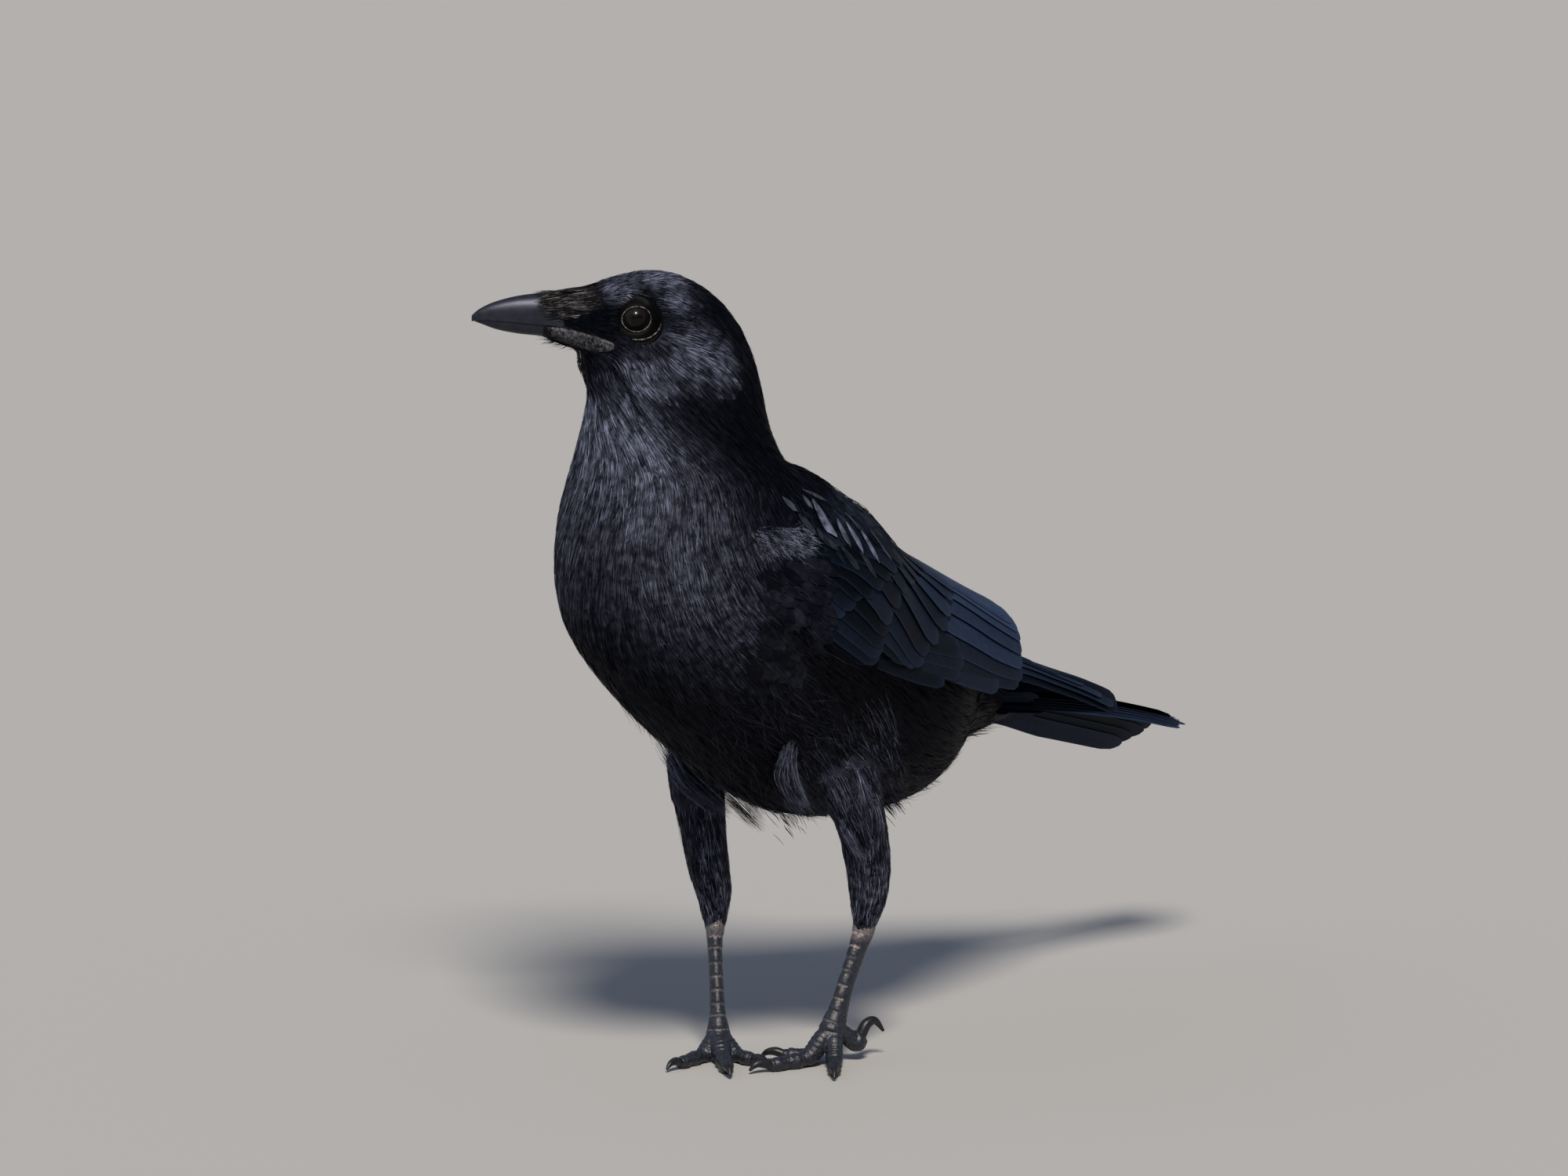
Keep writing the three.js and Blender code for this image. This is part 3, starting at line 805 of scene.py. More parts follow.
def feather_material(name, dark, light, barb_apart, rough, bloom, edging=0, shine=0.055, mottled=(0.3, 1.5)):
    """Black feather vane: keratin filled with melanin, in fine parallel barbs.

    The barbs lie slantwise from the shaft. They give a soft gloss and a violet to steel-blue bloom.
    Real barbs lie about a third of a millimetre apart, and are drawn coarser here so that they show.
    edging is how worn and pale the vanes' edges are."""

    def looks(tree):
        vane = node(tree, "ShaderNodeUVMap", uv_map="Vane")
        beside, along_shaft, _ = node(tree, "ShaderNodeSeparateXYZ", {"Vector": vane}).outputs
        slant = node(tree, "ShaderNodeMath", {0: beside}, operation="ABSOLUTE")
        line = node(tree, "ShaderNodeMath", {0: along_shaft, 1: slant}, operation="SUBTRACT")
        waves = node(tree, "ShaderNodeMath", {0: line, 1: 2 * math.pi / barb_apart}, operation="MULTIPLY")
        ridge = node(tree, "ShaderNodeMath", {0: waves}, operation="SINE")
        barbs = {"Height": ridge, "Strength": 0.35, "Distance": 0.1 * MM}
        tone = node(tree, "ShaderNodeAttribute", attribute_name="tone").outputs["Fac"]
        span = {"Value": speckle(tree, 0.26, 4.0), "From Min": 0.34, "From Max": 0.66}
        span |= {"To Min": mottled[0], "To Max": mottled[1]}
        uneven = node(tree, "ShaderNodeMapRange", span)
        shade = node(tree, "ShaderNodeMath", {0: tone, 1: uneven}, operation="MULTIPLY")
        edge = node(tree, "ShaderNodeAttribute", attribute_name="edge").outputs["Fac"]
        rim = {0: edge, 1: edging, 2: shade}
        shade = node(tree, "ShaderNodeMath", rim, operation="MULTIPLY_ADD", use_clamp=True)
        colours = {"Factor": shade, "A": (*dark, 1), "B": (*light, 1)}
        return {
            "Base Color": node(tree, "ShaderNodeMix", colours, data_type="RGBA").outputs["Result"],
            "Roughness": rough,
            "IOR": 1.55,
            "Specular IOR Level": shine,
            "Specular Tint": (*linear(bloom), 1),
            "Normal": node(tree, "ShaderNodeBump", barbs),
            "Sheen Weight": 0.006,
            "Sheen Roughness": 0.35,
            "Sheen Tint": (*linear("#9aa0c8"), 1),
        }

    return surface(looks, name)


def body_black(context):
    """Body feathers: black, with a violet bloom."""
    plumage = context.scene.crow_plumage
    return feather_material("body_feather", plumage.black, plumage.worn_and_sheen, 0.8, 0.44, "#c6cdf2")


def back_black():
    """Back feathers: as on the body, with a bluer bloom."""
    return feather_material("back_feather", linear("#030508"), linear("#56617c"), 0.8, 0.46, "#a4b9ee")


def flight_black():
    """Wing and tail feathers: stiffer and smoother vanes, worn pale along their edges. Their pale colour is
    bluer, in part the vanes' own blue gloss and in part painted sky reflection.
    """
    # The blue of the pale colour is in part painted sky reflection.
    dark, light = linear("#030508"), linear("#2c3a54")
    return feather_material("flight_feather", dark, light, 0.9, 0.5, "#9ab3ea", 0.2, 0.035, (0.85, 1.15))


def bristle_black():
    """Bristles: bare shafts, some of them worn brownish grey."""
    return feather_material("bristle", linear("#060607"), linear("#6f6c6c"), 0.8, 0.5, "#cfd0e6")


def spotted_tone(tree, per_mm):
    """A mesh's own tone, broken into specks."""
    tone = node(tree, "ShaderNodeAttribute", attribute_name="tone").outputs["Fac"]
    return node(tree, "ShaderNodeMath", {0: tone, 1: speckle(tree, per_mm)}, operation="MULTIPLY")


def leg_scales(tree):
    """Scaled skin of a bird's leg: black horny keratin, satin, its joints worn pinkish white."""
    horn = ramp(tree, speckle(tree, 0.9), "#13161c", "#2b2e37")
    tint = ramp(tree, spotted_tone(tree, 1.3), horn, "#9c8f8d", 0.1, 0.6)
    bumps = grain(tree, 2.6, 0.5, 0.3)
    return {"Base Color": tint, "Roughness": 0.3, "Specular IOR Level": 0.4, "Normal": bumps}


def claw_horn(tree):
    """Claw horn: solid dark keratin with a worn polish."""
    tint = ramp(tree, speckle(tree, 0.7), "#0c0c0e", "#242327")
    return {"Base Color": tint, "Roughness": 0.38, "Specular IOR Level": 0.3}


def bill_horn(tree):
    """Bill horn: black keratin sheath, satin from wear, with a faint grain and a cool gloss."""
    tint = ramp(tree, speckle(tree, 0.26), "#14161b", "#22242b")
    gloss = {"Roughness": 0.38, "Specular IOR Level": 0.42, "Specular Tint": (*linear("#ccd2ee"), 1)}
    return {"Base Color": tint, "Normal": grain(tree, 1.5, 0.12, 0.2), **gloss}


def gape_crust(tree):
    """Bare skin at a bird's gape: dull grey, rough and flaking."""
    tint = ramp(tree, spotted_tone(tree, 0.8), "#060607", "#65646d")
    bumps = grain(tree, 2.2, 0.6, 0.4)
    return {"Base Color": tint, "Roughness": 0.6, "Specular IOR Level": 0.15, "Normal": bumps}


def eye_wet(tree):
    """A living eye: wet clear cornea over a dark brown iris and a black pupil."""
    angle = node(tree, "ShaderNodeAttribute", attribute_name="angle").outputs["Fac"]
    tint = ramp(tree, angle, "#020202", "#120d0c", 0.36, 0.44)
    cornea = {"Coat Weight": 0.2, "Coat Roughness": 0.02}
    return {"Base Color": tint, "Roughness": 0.3, "Specular IOR Level": 0.1, **cornea}


def bare_skin(tree):
    """Bare skin round the eye: black, fine-grained and slightly moist."""
    tint = ramp(tree, speckle(tree, 1.3), "#020203", "#08080a", 0.4, 0.75)
    bumps = grain(tree, 1.8, 0.4, 0.3)
    return {"Base Color": tint, "Roughness": 0.5, "Specular IOR Level": 0.05, "Normal": bumps}


def lid_skin(tree):
    """Bare lid skin: fine pale-grey papillae."""
    tint = ramp(tree, speckle(tree, 0.9), "#141214", "#6f6a68", 0.42, 0.62)
    return {"Base Color": tint, "Roughness": 0.5}


def studio_floor(tree):
    """Matt painted board: pale warm grey with no shine."""
    return {"Base Color": (*linear("#a3a2a0"), 1), "Roughness": 0.85}


# ---- Wings and tail ----

# A folded wing is a bowed blade: each station has its lower edge, its upper edge and how far it bows
# out from the line between them. The same holds for the stack of long feathers that it ends in.
WING = [
    (46, -126.7, 207, 44, -120.7, 221, 1),
    (55, -111.7, 191, 43, -99.7, 235, 8),
    (58, -84.7, 174, 36, -68.7, 237, 11),
    (56, -58.7, 168, 24, -38.7, 228, 12),
    (52, -30.7, 160, 11, -6.7, 208.5, 11),
    (45, 1.3, 152, 6, 27.3, 191, 9),
    (36, 33.3, 145, 6, 55.3, 175.5, 6),
    (29, 57.3, 142, 8, 75.3, 165, 3),
]
PRIMARIES = [
    (32, 35.3, 142, 9, 35.3, 158, 3.5),
    (27, 59.3, 137, 8, 63.3, 151, 3.5),
    (21, 87.3, 129, 9, 91.3, 139, 2.5),
    (16, 115.3, 120, 10, 119.3, 127, 1.6),
    (12, 137.3, 113, 10, 139.3, 116, 0.5),
]
BLADE_ROWS = 16  # between two stations
BLADE_COLUMNS = 57
BLADE_LOW, BLADE_HIGH = -0.2, 1.2  # how far the sheet goes past its edges


class Blade(Sheet):
    """The outer face of a folded wing, with places given by station and share of the way up."""

    def __init__(self, stations, side):
        rows = between(stations, BLADE_ROWS)
        low, high, bow = rows[:, 0:3], rows[:, 3:6], rows[:, 6]
        across = high - low
        outward = unit(np.stack([across[:, 2], 0 * bow, -across[:, 0]], -1))
        share = np.linspace(BLADE_LOW, BLADE_HIGH, BLADE_COLUMNS)
        inside = np.clip(share, 0, 1)
        swell = np.sin(np.pi * inside) - 3 * np.abs(share - inside)
        points = low[:, None] + across[:, None] * share[:, None]
        points = points + outward[:, None] * (bow[:, None] * swell)[..., None]
        super().__init__(points * [side, 1, 1], False, side)

    def place(self, station, share):
        row = np.asarray(station, float) * BLADE_ROWS
        column = (np.asarray(share, float) - BLADE_LOW) / (BLADE_HIGH - BLADE_LOW) * (BLADE_COLUMNS - 1)
        return row, column


WINGS = {name: Blade(WING, side) for name, side in SIDES.items()}
PRIMARY_STACKS = {name: Blade(PRIMARIES, side) for name, side in SIDES.items()}

# Families of wing feathers from the top of the wing down, each as its root and its tip, given by
# station and share of the way up. More feathers are spaced evenly between these.
TERTIALS = [  # down to the secondaries
    (3.3, 0.94, 6.6, 0.9),
    (3.5, 0.88, 6.85, 0.83),
    (3.8, 0.8, 7.04, 0.73),
    (4.0, 0.62, 7.06, 0.55),
    (4.1, 0.44, 7.02, 0.35),
    (4.0, 0.28, 7.15, 0.16),
    (3.9, 0.16, 6.95, 0.04),
    (3.7, 0.08, 6.1, 0.02),
]
GREATER = [
    (3.9, 0.84, 5.05, 0.7),
    (3.5, 0.76, 4.75, 0.48),
    (2.8, 0.68, 4.52, 0.28),
    (2.2, 0.52, 4.05, 0.14),
    (1.7, 0.38, 3.85, 0.05),
    (1.2, 0.26, 3.5, 0.07),
]
LOW_COVERTS = [
    (3.2, 0.18, 4.9, 0.2),
    (3.1, 0.12, 5.0, 0.12),
    (3.0, 0.06, 4.92, 0.05),
    (2.7, 0.02, 4.5, 0.0),
]
MEDIAN = [
    (3.3, 0.86, 4.4, 0.76),
    (2.6, 0.78, 3.9, 0.6),
    (1.9, 0.76, 3.3, 0.42),
    (1.2, 0.58, 2.8, 0.24),
    (0.7, 0.36, 2.7, 0.14),
    (0.5, 0.18, 2.62, 0.06),
]
LESSER = [
    (2.2, 0.72, 3.3, 0.6),
    (1.4, 0.66, 2.6, 0.46),
    (0.8, 0.58, 1.9, 0.36),
    (0.3, 0.46, 1.5, 0.2),
    (0.1, 0.26, 1.4, 0.06),
]
PRIMARY_TIPS = [
    (-0.6, 0.95, 1.75, 0.95),
    (-0.6, 0.82, 2.3, 0.86),
    (-0.6, 0.68, 2.85, 0.8),
    (-0.6, 0.52, 3.35, 0.74),
    (-0.6, 0.36, 3.75, 0.6),
    (-0.6, 0.22, 4.0, 0.4),
]


# How each family is laid, the deepest first: its stations, how many feathers, their half width, how deep
# they lie, how far they sag, the paleness of the first and the last, and where those two stand on the
# coat's map. A deeper layer of MEDIAN and LESSER closes the gaps between the upper ones.
# The paleness falls from the top feathers of a family to its lower ones: painted sky reflection along the
# top of the wing.
LONG_LAID = [(TERTIALS, 9, 7.4, 1.9, 0.03, (1, 0.12), (0, 1))]
COVERTS_LAID = [
    (LOW_COVERTS, 4, 5.2, 1.5, 0.01, (0.12, 0.12), (0, 1)),
    (MEDIAN, 12, 9, 2, 0.05, (0.06, 0.06), (0, 1)),
    (LESSER, 12, 9, 2, 0.05, (0.06, 0.06), (0, 1)),
    (GREATER, 9, 8.4, 0.9, 0.05, (0.32, 0.05), (0.1, 1)),
    (MEDIAN, 11, 7, 0.4, 0.05, (0.2, 0.05), (0, 0.9)),
    (LESSER, 11, 6.4, 0, 0.05, (0.07, 0.07), (0, 0.8)),
]
TIPS_LAID = [(PRIMARY_TIPS, 6, 5.4, 0.4, 0, (0.28, 0.28), (0.1, 0.9))]


def family(blade, stations, count, side, rng, half, inset, sag, tone):
    """Long vanes laid from the top of a wing down, each one's lower edge over the next."""
    path = np.array(stations, float)
    place = np.linspace(0, len(path) - 1, count)
    first = np.minimum(place.astype(int), len(path) - 2)
    mix = (place - first)[:, None]
    path = path[first] * (1 - mix) + path[first + 1] * mix
    share = shares(16)
    bend = 4 * share * (1 - share)
    station = path[:, :1] * (1 - share) + path[:, 2:3] * share
    height = path[:, 1:2] * (1 - share) + path[:, 3:] * share + sag * bend
    height = height + rng.normal(0, 0.006, (count, 1))
    paths = blade.lines(*blade.place(station, height))
    return lay_vanes(paths, side, rng, half, inset, tone)


VANE_LEAN = math.radians(4.5)  # of each long feather over the next


def lay_vanes(paths, side, rng, half, inset, tone, taper=1.15):
    """What Tufts.add takes for broad stiff feathers with round tips that lean over the next ones."""
    count = len(paths[0])
    half = np.broadcast_to(half, count) * rng.uniform(0.95, 1.05, count)
    length = np.linalg.norm(np.diff(paths[0], axis=1), axis=-1).sum(1)
    columns = np.linspace(-1, 1, 11)
    round_off = 1 - np.sqrt(np.maximum(1 - np.abs(columns) ** 2.3, 0))
    reach = 1 - taper * (half / length)[:, None] * round_off
    reach = reach - rng.uniform(0, 0.6, reach.shape) / length[:, None]
    rise = np.broadcast_to(-inset, (count, 1)) + np.linspace(-0.5, 0.25, 18)[None]
    tones = np.clip(tone + rng.normal(0, 0.08, count), 0, 1)
    lie = {"rise": rise, "roll": VANE_LEAN * side, "camber": 0.06}
    return {"paths": paths, "half": half, "reach": reach, "width": remex, "tone": tones, **lie}


def quill_roots(count, low, high):
    """Places on a coat's map for feathers that are laid one by one."""
    return np.stack([np.linspace(low, high, count), np.linspace(high, low, count) ** 2], -1)


def wing_tufts(name, rng):
    """All the large feathers of one folded wing."""
    wing, stack = WINGS[name], PRIMARY_STACKS[name]
    flight, coverts = Tufts(), Tufts()
    layers = (flight, wing, LONG_LAID), (coverts, wing, COVERTS_LAID), (flight, stack, TIPS_LAID)
    for tufts, blade, laid in layers:
        for stations, count, half, inset, sag, tones, span in laid:
            tone = np.linspace(*tones, count)
            vanes = family(blade, stations, count, SIDES[name], rng, half, inset, sag, tone)
            tufts.add(**vanes, root=quill_roots(count, *span))
    return flight, coverts


# The tail is a fan, roofed along its middle and rolled a little so that its left side is higher.
TAIL = {"y": 31.3, "z": 136, "length": 155, "base": 9, "tip": 21.5}
TAIL_GRADED = 0.09  # the outermost feathers are this share shorter than the middle ones
TAIL_ROWS, TAIL_COLUMNS = 41, 45
TAIL_EDGE = 1.1  # how far across the sheet goes, where 1 is the tail's own edge
TAIL_PAIRS = 6


def tail_sheet():
    """The top of the tail. Its rows run back and its columns from right to left."""
    back, aside = shares(TAIL_ROWS), np.linspace(-TAIL_EDGE, TAIL_EDGE, TAIL_COLUMNS)
    run_share, across = np.meshgrid(back, aside, indexing="ij")
    run = run_share * TAIL["length"]
    x = across * (TAIL["base"] + (TAIL["tip"] - TAIL["base"]) * run_share**0.8)
    fall = 0.15 * run + 0.00057 * run**2
    tilt = (0.3 + 0.56 * run_share * (1 - run_share)) * x - 9.7 * np.abs(across) ** 1.5
    z = TAIL["z"] - fall + tilt * np.minimum(1, 0.45 + run_share)
    return Sheet(np.stack([x, TAIL["y"] + run, z], -1), False, -1)


def tail_lines(sheet, across, share):
    """Paths back along the tail, which fan out from its root. share is of the tail's length."""
    fanned = across * (0.75 + 0.25 * share)
    column = (fanned + TAIL_EDGE) / (2 * TAIL_EDGE) * (TAIL_COLUMNS - 1)
    return sheet.lines(share * (TAIL_ROWS - 1), column)


def tail_tufts(rng):
    """Twelve tail feathers: the middle pair on top, and each outer one under its neighbour."""
    sheet = tail_sheet()
    tufts = Tufts()
    for place in reversed(range(TAIL_PAIRS)):
        for side in SIDES.values():
            across = side * (0.06 + 0.165 * place)
            end = 1 - TAIL_GRADED * across**2 - 0.035 * rng.uniform(0, 1) * (place > 0)
            paths = tail_lines(sheet, across, np.linspace(0.04, end, 16)[None])
            # The left half is painted paler, as sky reflection on its upturned vanes, and the right half
            # darker, as painted shade on its underside.
            tone = 0.24 if side > 0 else 0.04
            vanes = lay_vanes(paths, -side * 0.5, rng, 6.2 - 0.3 * place, 0.2 + 0.34 * place, tone, 2.2)
            tufts.add(**vanes, root=[[0.5 + across / 2, place / TAIL_PAIRS]])
    return tufts


# Rows of short feathers over the tail's root and under it: how far below the tail's top they lie, and
# how far along it they reach.
TAIL_COVERTS = ((-0.9, 0.4), (-1.9, 0.27), (2.4, 0.52), (3.8, 0.42), (5, 0.32), (6, 0.22))


def tail_covert_tufts(rng):
    """The short feathers that close the gap between the body and the tail, above and below."""
    sheet = tail_sheet()
    tufts = Tufts()
    across = np.linspace(-0.9, 0.9, 8)[:, None]
    for depth, reach in TAIL_COVERTS:
        end = reach - 0.05 * np.abs(across) + rng.uniform(-0.02, 0.02, across.shape)
        paths = tail_lines(sheet, across, shares(12)[None] * end)
        vanes = lay_vanes(paths, 0, rng, 4.4, depth, 0.08)
        tufts.add(**vanes, root=quill_roots(len(across), 0.1, 0.9))
    return tufts


# ---- Legs and feet ----

# From the body down: the feathered thigh, then the bare shank from heel to foot. Each station has its
# place and its half width and half depth.
LEGS = {
    "left": {
        "thigh": [
            (27, -58.7, 126, 14, 17), (29, -51.7, 112, 11, 13), (29, -45.7, 98, 9.4, 10.2),
            (28, -40.5, 82, 8.6, 9.4), (27, -38.7, 69, 7.8, 8.6), (26.6, -39.9, 59, 6.2, 7),
            (26.2, -40.9, 54.5, 4.4, 5.4),
        ],
        "shank": [
            (26.6, -38.3, 62, 3, 4), (26, -40.3, 53.5, 3.8, 4.8), (25.6, -43.5, 46, 3, 4),
            (24.9, -49.2, 34, 2.8, 3.7), (24.4, -53.7, 23.5, 3.3, 4), (23.5, -57.7, 13.5, 5.3, 5.6),
        ],
        "foot": (24, -56.7),
        "arch": 1.1,
        "turns": {"middle": -18, "inner": -58, "outer": 40, "hind": 162},
        "hind_lift": 4,
    },
    "right": {
        "thigh": [
            (-26, -82.7, 126, 14, 17), (-28, -80.7, 112, 11, 12), (-28.5, -77.7, 99, 9, 9.8),
            (-28, -74.3, 79, 8, 8.6), (-28, -70.7, 67, 7.2, 7.8), (-28, -69.9, 57, 5.8, 6.2),
            (-27.8, -69.9, 51, 4, 4.8),
        ],
        "shank": [
            (-28, -69.5, 59, 3, 4), (-27.6, -70.3, 51, 3.6, 4.6), (-26.2, -72.1, 44, 3, 3.9),
            (-22.8, -75.3, 32, 2.8, 3.7), (-19.4, -78.5, 19, 3.2, 4), (-17.6, -80.1, 9.5, 5.2, 5.4),
        ],
        "foot": (-18, -79.7),
        "arch": 0.6,
        "turns": {"middle": 47, "inner": 83, "outer": 3, "hind": 227},
        "hind_lift": 0,
    },
}
# Stations of a toe, and of the claw that goes on from it: distance from the foot, height of the middle
# and radius. Heights over ARCH_FROM are stretched by the foot's arch.
ARCH_FROM = 3.6
TOES = {
    "middle": {
        "toe": [
            (0, 13, 4), (5.5, 10, 3.9), (11, 4.6, 3.8), (15, 3.3, 3), (19, 2.9, 3.4),
            (23, 2.9, 2.6), (27, 2.6, 3.1), (31, 2.8, 2.2),
        ],
        "claw": [(30.4, 2.9, 2), (34, 4.2, 1.9), (37.6, 3.8, 1.4), (40.4, 1.7, 0.5)],
    },
    "inner": {
        "toe": [
            (0, 12.5, 3.8), (5, 8.6, 3.6), (9.5, 3.4, 3.5), (13.5, 2.9, 2.6), (17.5, 2.6, 3.1),
            (21, 2.8, 2.1),
        ],
        "claw": [(20.4, 2.9, 1.9), (24, 4.1, 1.8), (27.5, 3.7, 1.3), (30, 1.7, 0.5)],
    },
    "outer": {
        "toe": [
            (0, 12.5, 3.8), (5, 8.6, 3.5), (9.5, 3.2, 3.4), (13, 2.9, 2.6), (16.5, 2.6, 3.1),
            (20, 2.7, 2.4), (23, 2.3, 2.8), (26, 2.6, 2),
        ],
        "claw": [(25.4, 2.7, 1.8), (28.6, 3.9, 1.7), (32, 3.4, 1.2), (34.4, 1.5, 0.5)],
    },
    "hind": {
        "toe": [(0, 10, 3.4), (4, 7.6, 3.3), (7.5, 5, 3.6), (10.6, 3.9, 4.4), (13.6, 5.2, 2.9)],
        "claw": [(12.6, 6, 2.4), (15.4, 9.8, 2.2), (19.4, 10.6, 1.6), (23.4, 6.4, 0.6)],
    },
}


class Tube(Sheet):
    """A closed sheet round a path. Its columns start at upward and go toward the left of the path."""

    def __init__(self, stations, upward, steps=10, around=48):
        self.path = between(stations, steps)
        self.middles = self.path[:, :3]
        ahead = unit(np.gradient(self.middles, axis=0))
        self.side = unit(np.cross(np.broadcast_to(upward, ahead.shape), ahead))
        self.up = np.cross(ahead, self.side)
        angles = turns(around)
        rise = np.cos(angles)[:, None] * self.up[:, None] * self.path[:, None, 4:5]
        aside = np.sin(angles)[:, None] * self.side[:, None] * self.path[:, None, 3:4]
        super().__init__(self.middles[:, None] + rise + aside, True, 1)
        step = np.linalg.norm(np.diff(self.middles, axis=0), axis=1)
        self.run = np.concatenate([[0], np.cumsum(step)])

    def nearest(self, points):
        """For each point: how far out it is as a share of the radius, the run along and the angle."""
        gap = points[:, None] - self.middles[None]
        radius = self.path[:, 3:5].mean(1)
        share = np.linalg.norm(gap, axis=-1) / radius
        best = share.argmin(1)
        chosen = gap[np.arange(len(points)), best]
        up = (chosen * self.up[best]).sum(1)
        side = (chosen * self.side[best]).sum(1)
        return share[np.arange(len(points)), best], self.run[best], np.arctan2(side, up)

    def mesh(self):
        """Its points and quads, and the triangles that close its ends."""
        ends = np.stack([self.middles[0], self.middles[-1]])
        points = np.concatenate([self.points.reshape(-1, 3), ends])
        quads = grid_faces(self.rows, self.columns, True)
        ring = np.arange(self.columns)
        after = (ring + 1) % self.columns
        centre = len(points) - 2
        start = np.stack([after, ring, np.full(self.columns, centre)], -1)
        last = (self.rows - 1) * self.columns
        end = np.stack([ring + last, after + last, np.full(self.columns, centre + 1)], -1)
        return points, [*map(tuple, quads), *map(tuple, start), *map(tuple, end)]


THIGH_SLIMMER = (0.86, 0.96, 1, 1, 0.95, 0.88, 0.84)  # at each station
THIGH_FRONT = (0, -1, 0)


def feathered_thigh(leg, inset=0.0):
    """The stations of a thigh, drawn in a little where it enters the body."""
    stations = zip(THIGH_SLIMMER, leg["thigh"])
    return [(x, y, z, a * k - inset, b * k - inset) for k, (x, y, z, a, b) in stations]


def digit(leg, name, part):
    """The tube of a toe or of its claw."""
    turn = math.radians(leg["turns"][name])
    lift = leg["hind_lift"] if name == "hind" else 0
    stations = []
    for out, height, radius in TOES[name][part]:
        z = lift + height + max(0, height - ARCH_FROM) * (leg["arch"] - 1)
        x, y = leg["foot"][0] + out * math.sin(turn), leg["foot"][1] - out * math.cos(turn)
        stations.append((x, y, z, radius, radius))
    return Tube(stations, UPWARD, 8, 32)


def leg_tubes(leg):
    """Thigh, shank and toes of one leg."""
    toward = math.radians(leg["turns"]["middle"])
    front = np.array([math.sin(toward), -math.cos(toward), 0])
    shank = Tube(leg["shank"], front)
    thigh = Tube(feathered_thigh(leg, 1.2), THIGH_FRONT)
    return [thigh, shank, *(digit(leg, name, "toe") for name in TOES)]


def whole_form():
    """Body, folded wings and thighs as one, with the hollows between them filled a little."""
    parts = [node_part(name) for name in ("neck", "trunk", "wing_left", "wing_right")]
    thighs = [Tube(feathered_thigh(leg), THIGH_FRONT).mesh() for leg in LEGS.values()]
    return Bulk(fuse(parts + thighs, 1.6, 8))


BULK = whole_form()
BODY_TREE = search_tree(BODY.points.reshape(-1, 3))


def body_map(points):
    """The places of points on the body's unwrapped map."""
    nearest = np.array([BODY_TREE.find(Vector(p))[1] for p in points])
    return body_root(nearest // AROUND, nearest % AROUND)


# The line, seen from the side, above which small soft feathers cover the wing, and the line, seen from
# above, inside which they lie at the back.
MANTLE_EDGE = {
    "y": [-136, -127, -112, -100, -76, -49, -20, 10],
    "z": [240, 222, 212, 211, 214, 213, 203, 190],
}
MANTLE_HALF = {"y": [-48, -16, 20], "x": [60, 11, 3]}
MANTLE_BOX = {"front": -128, "rear": 2, "top": 250}


def in_mantle(points, margin=0.0):
    """Whether points lie in the mantle: the back, the shoulders and the forepart of the wings."""
    x, y, z = points.T
    inside = z > np.interp(y, MANTLE_EDGE["y"], MANTLE_EDGE["z"]) - margin
    inside = inside & (np.abs(x) < np.interp(y, MANTLE_HALF["y"], MANTLE_HALF["x"]) + margin)
    inside = inside & (y > MANTLE_BOX["front"] - margin) & (y < MANTLE_BOX["rear"] + margin)
    return inside & (z < MANTLE_BOX["top"] + margin)


def mantle_heading(points):
    """Along the back at its middle, and down over the shoulder at the sides."""
    x, y = points[:, 0], points[:, 1]
    side = smoothstep(12, 44, np.abs(x)) * (1 - 0.6 * smoothstep(-70, -25, y))
    return np.stack([0.4 * side * np.sign(x), 0.8 - 0.42 * side, -0.55 - 0.3 * side], -1)


SCUTE = 5.6  # from one scute of the shank to the next
TOE_SCUTE = 2.3


def scute_relief(run, angle, pitch, depth, reach):
    """Height of the overlapping scutes down the front of a leg or the top of a toe."""
    share = np.mod(run / pitch, 1)
    plate = np.minimum(1, np.sin(np.pi * share) ** 0.5 + 0.25 * share) * (0.7 + 0.3 * share)
    return depth * (plate - 0.6) * (1 - smoothstep(reach * 0.8, reach, np.abs(angle)))


CUFF = 61  # height at which a leg's feathers end
THIGH, SHANK = 0, 1  # places in what leg_tubes gives. The toes follow.


def leg_skin(name, rng):
    """One leg's skin as a closed object, with the scutes of its shank and toes raised."""
    tubes = leg_tubes(LEGS[name])
    joined = fuse([tube.mesh() for tube in tubes], 0.52, 3)
    place = np.array([v.co for v in joined.vertices]) / MM
    normal = np.array([v.normal for v in joined.vertices])
    near = [tube.nearest(place) for tube in tubes]
    best = np.argmin([n[0] for n in near], 0)
    run = np.choose(best, [n[1] for n in near])
    angle = np.choose(best, [n[2] for n in near])
    shank = scute_relief(run, angle, SCUTE, 0.8, 1.4)
    toes = scute_relief(run, angle, TOE_SCUTE, 0.75, 1.5)
    pads = 0.2 * np.sin(run * 2.6) * np.sin(angle * 7) * smoothstep(1.3, 1.8, np.abs(angle))
    under_feathers = -0.6 - 1.5 * (1 - smoothstep(0, 20, run))
    scaled = np.where(best == SHANK, shank + 0.4 * pads, toes + pads)
    place = place + normal * np.where(best == THIGH, under_feathers, scaled)[:, None]
    place[:, 2] = np.maximum(place[:, 2], 0.05)
    faces = np.array([tuple(p.vertices) for p in joined.polygons])
    bpy.data.meshes.remove(joined)
    made = mesh_object(f"leg_skin_{name}", place, faces)
    joint = np.exp(-(((np.mod(run / SCUTE + 0.5, 1) - 0.5) / 0.09) ** 2))
    paler = 0.75 * joint * (np.abs(angle) < 1.3) * (best == SHANK) + 0.8 * smoothstep(44, 55, place[:, 2])
    set_value(made.data, "tone", paler * rng.uniform(0.5, 1, len(place)) * (best <= SHANK))
    return made


# ---- Bill ----

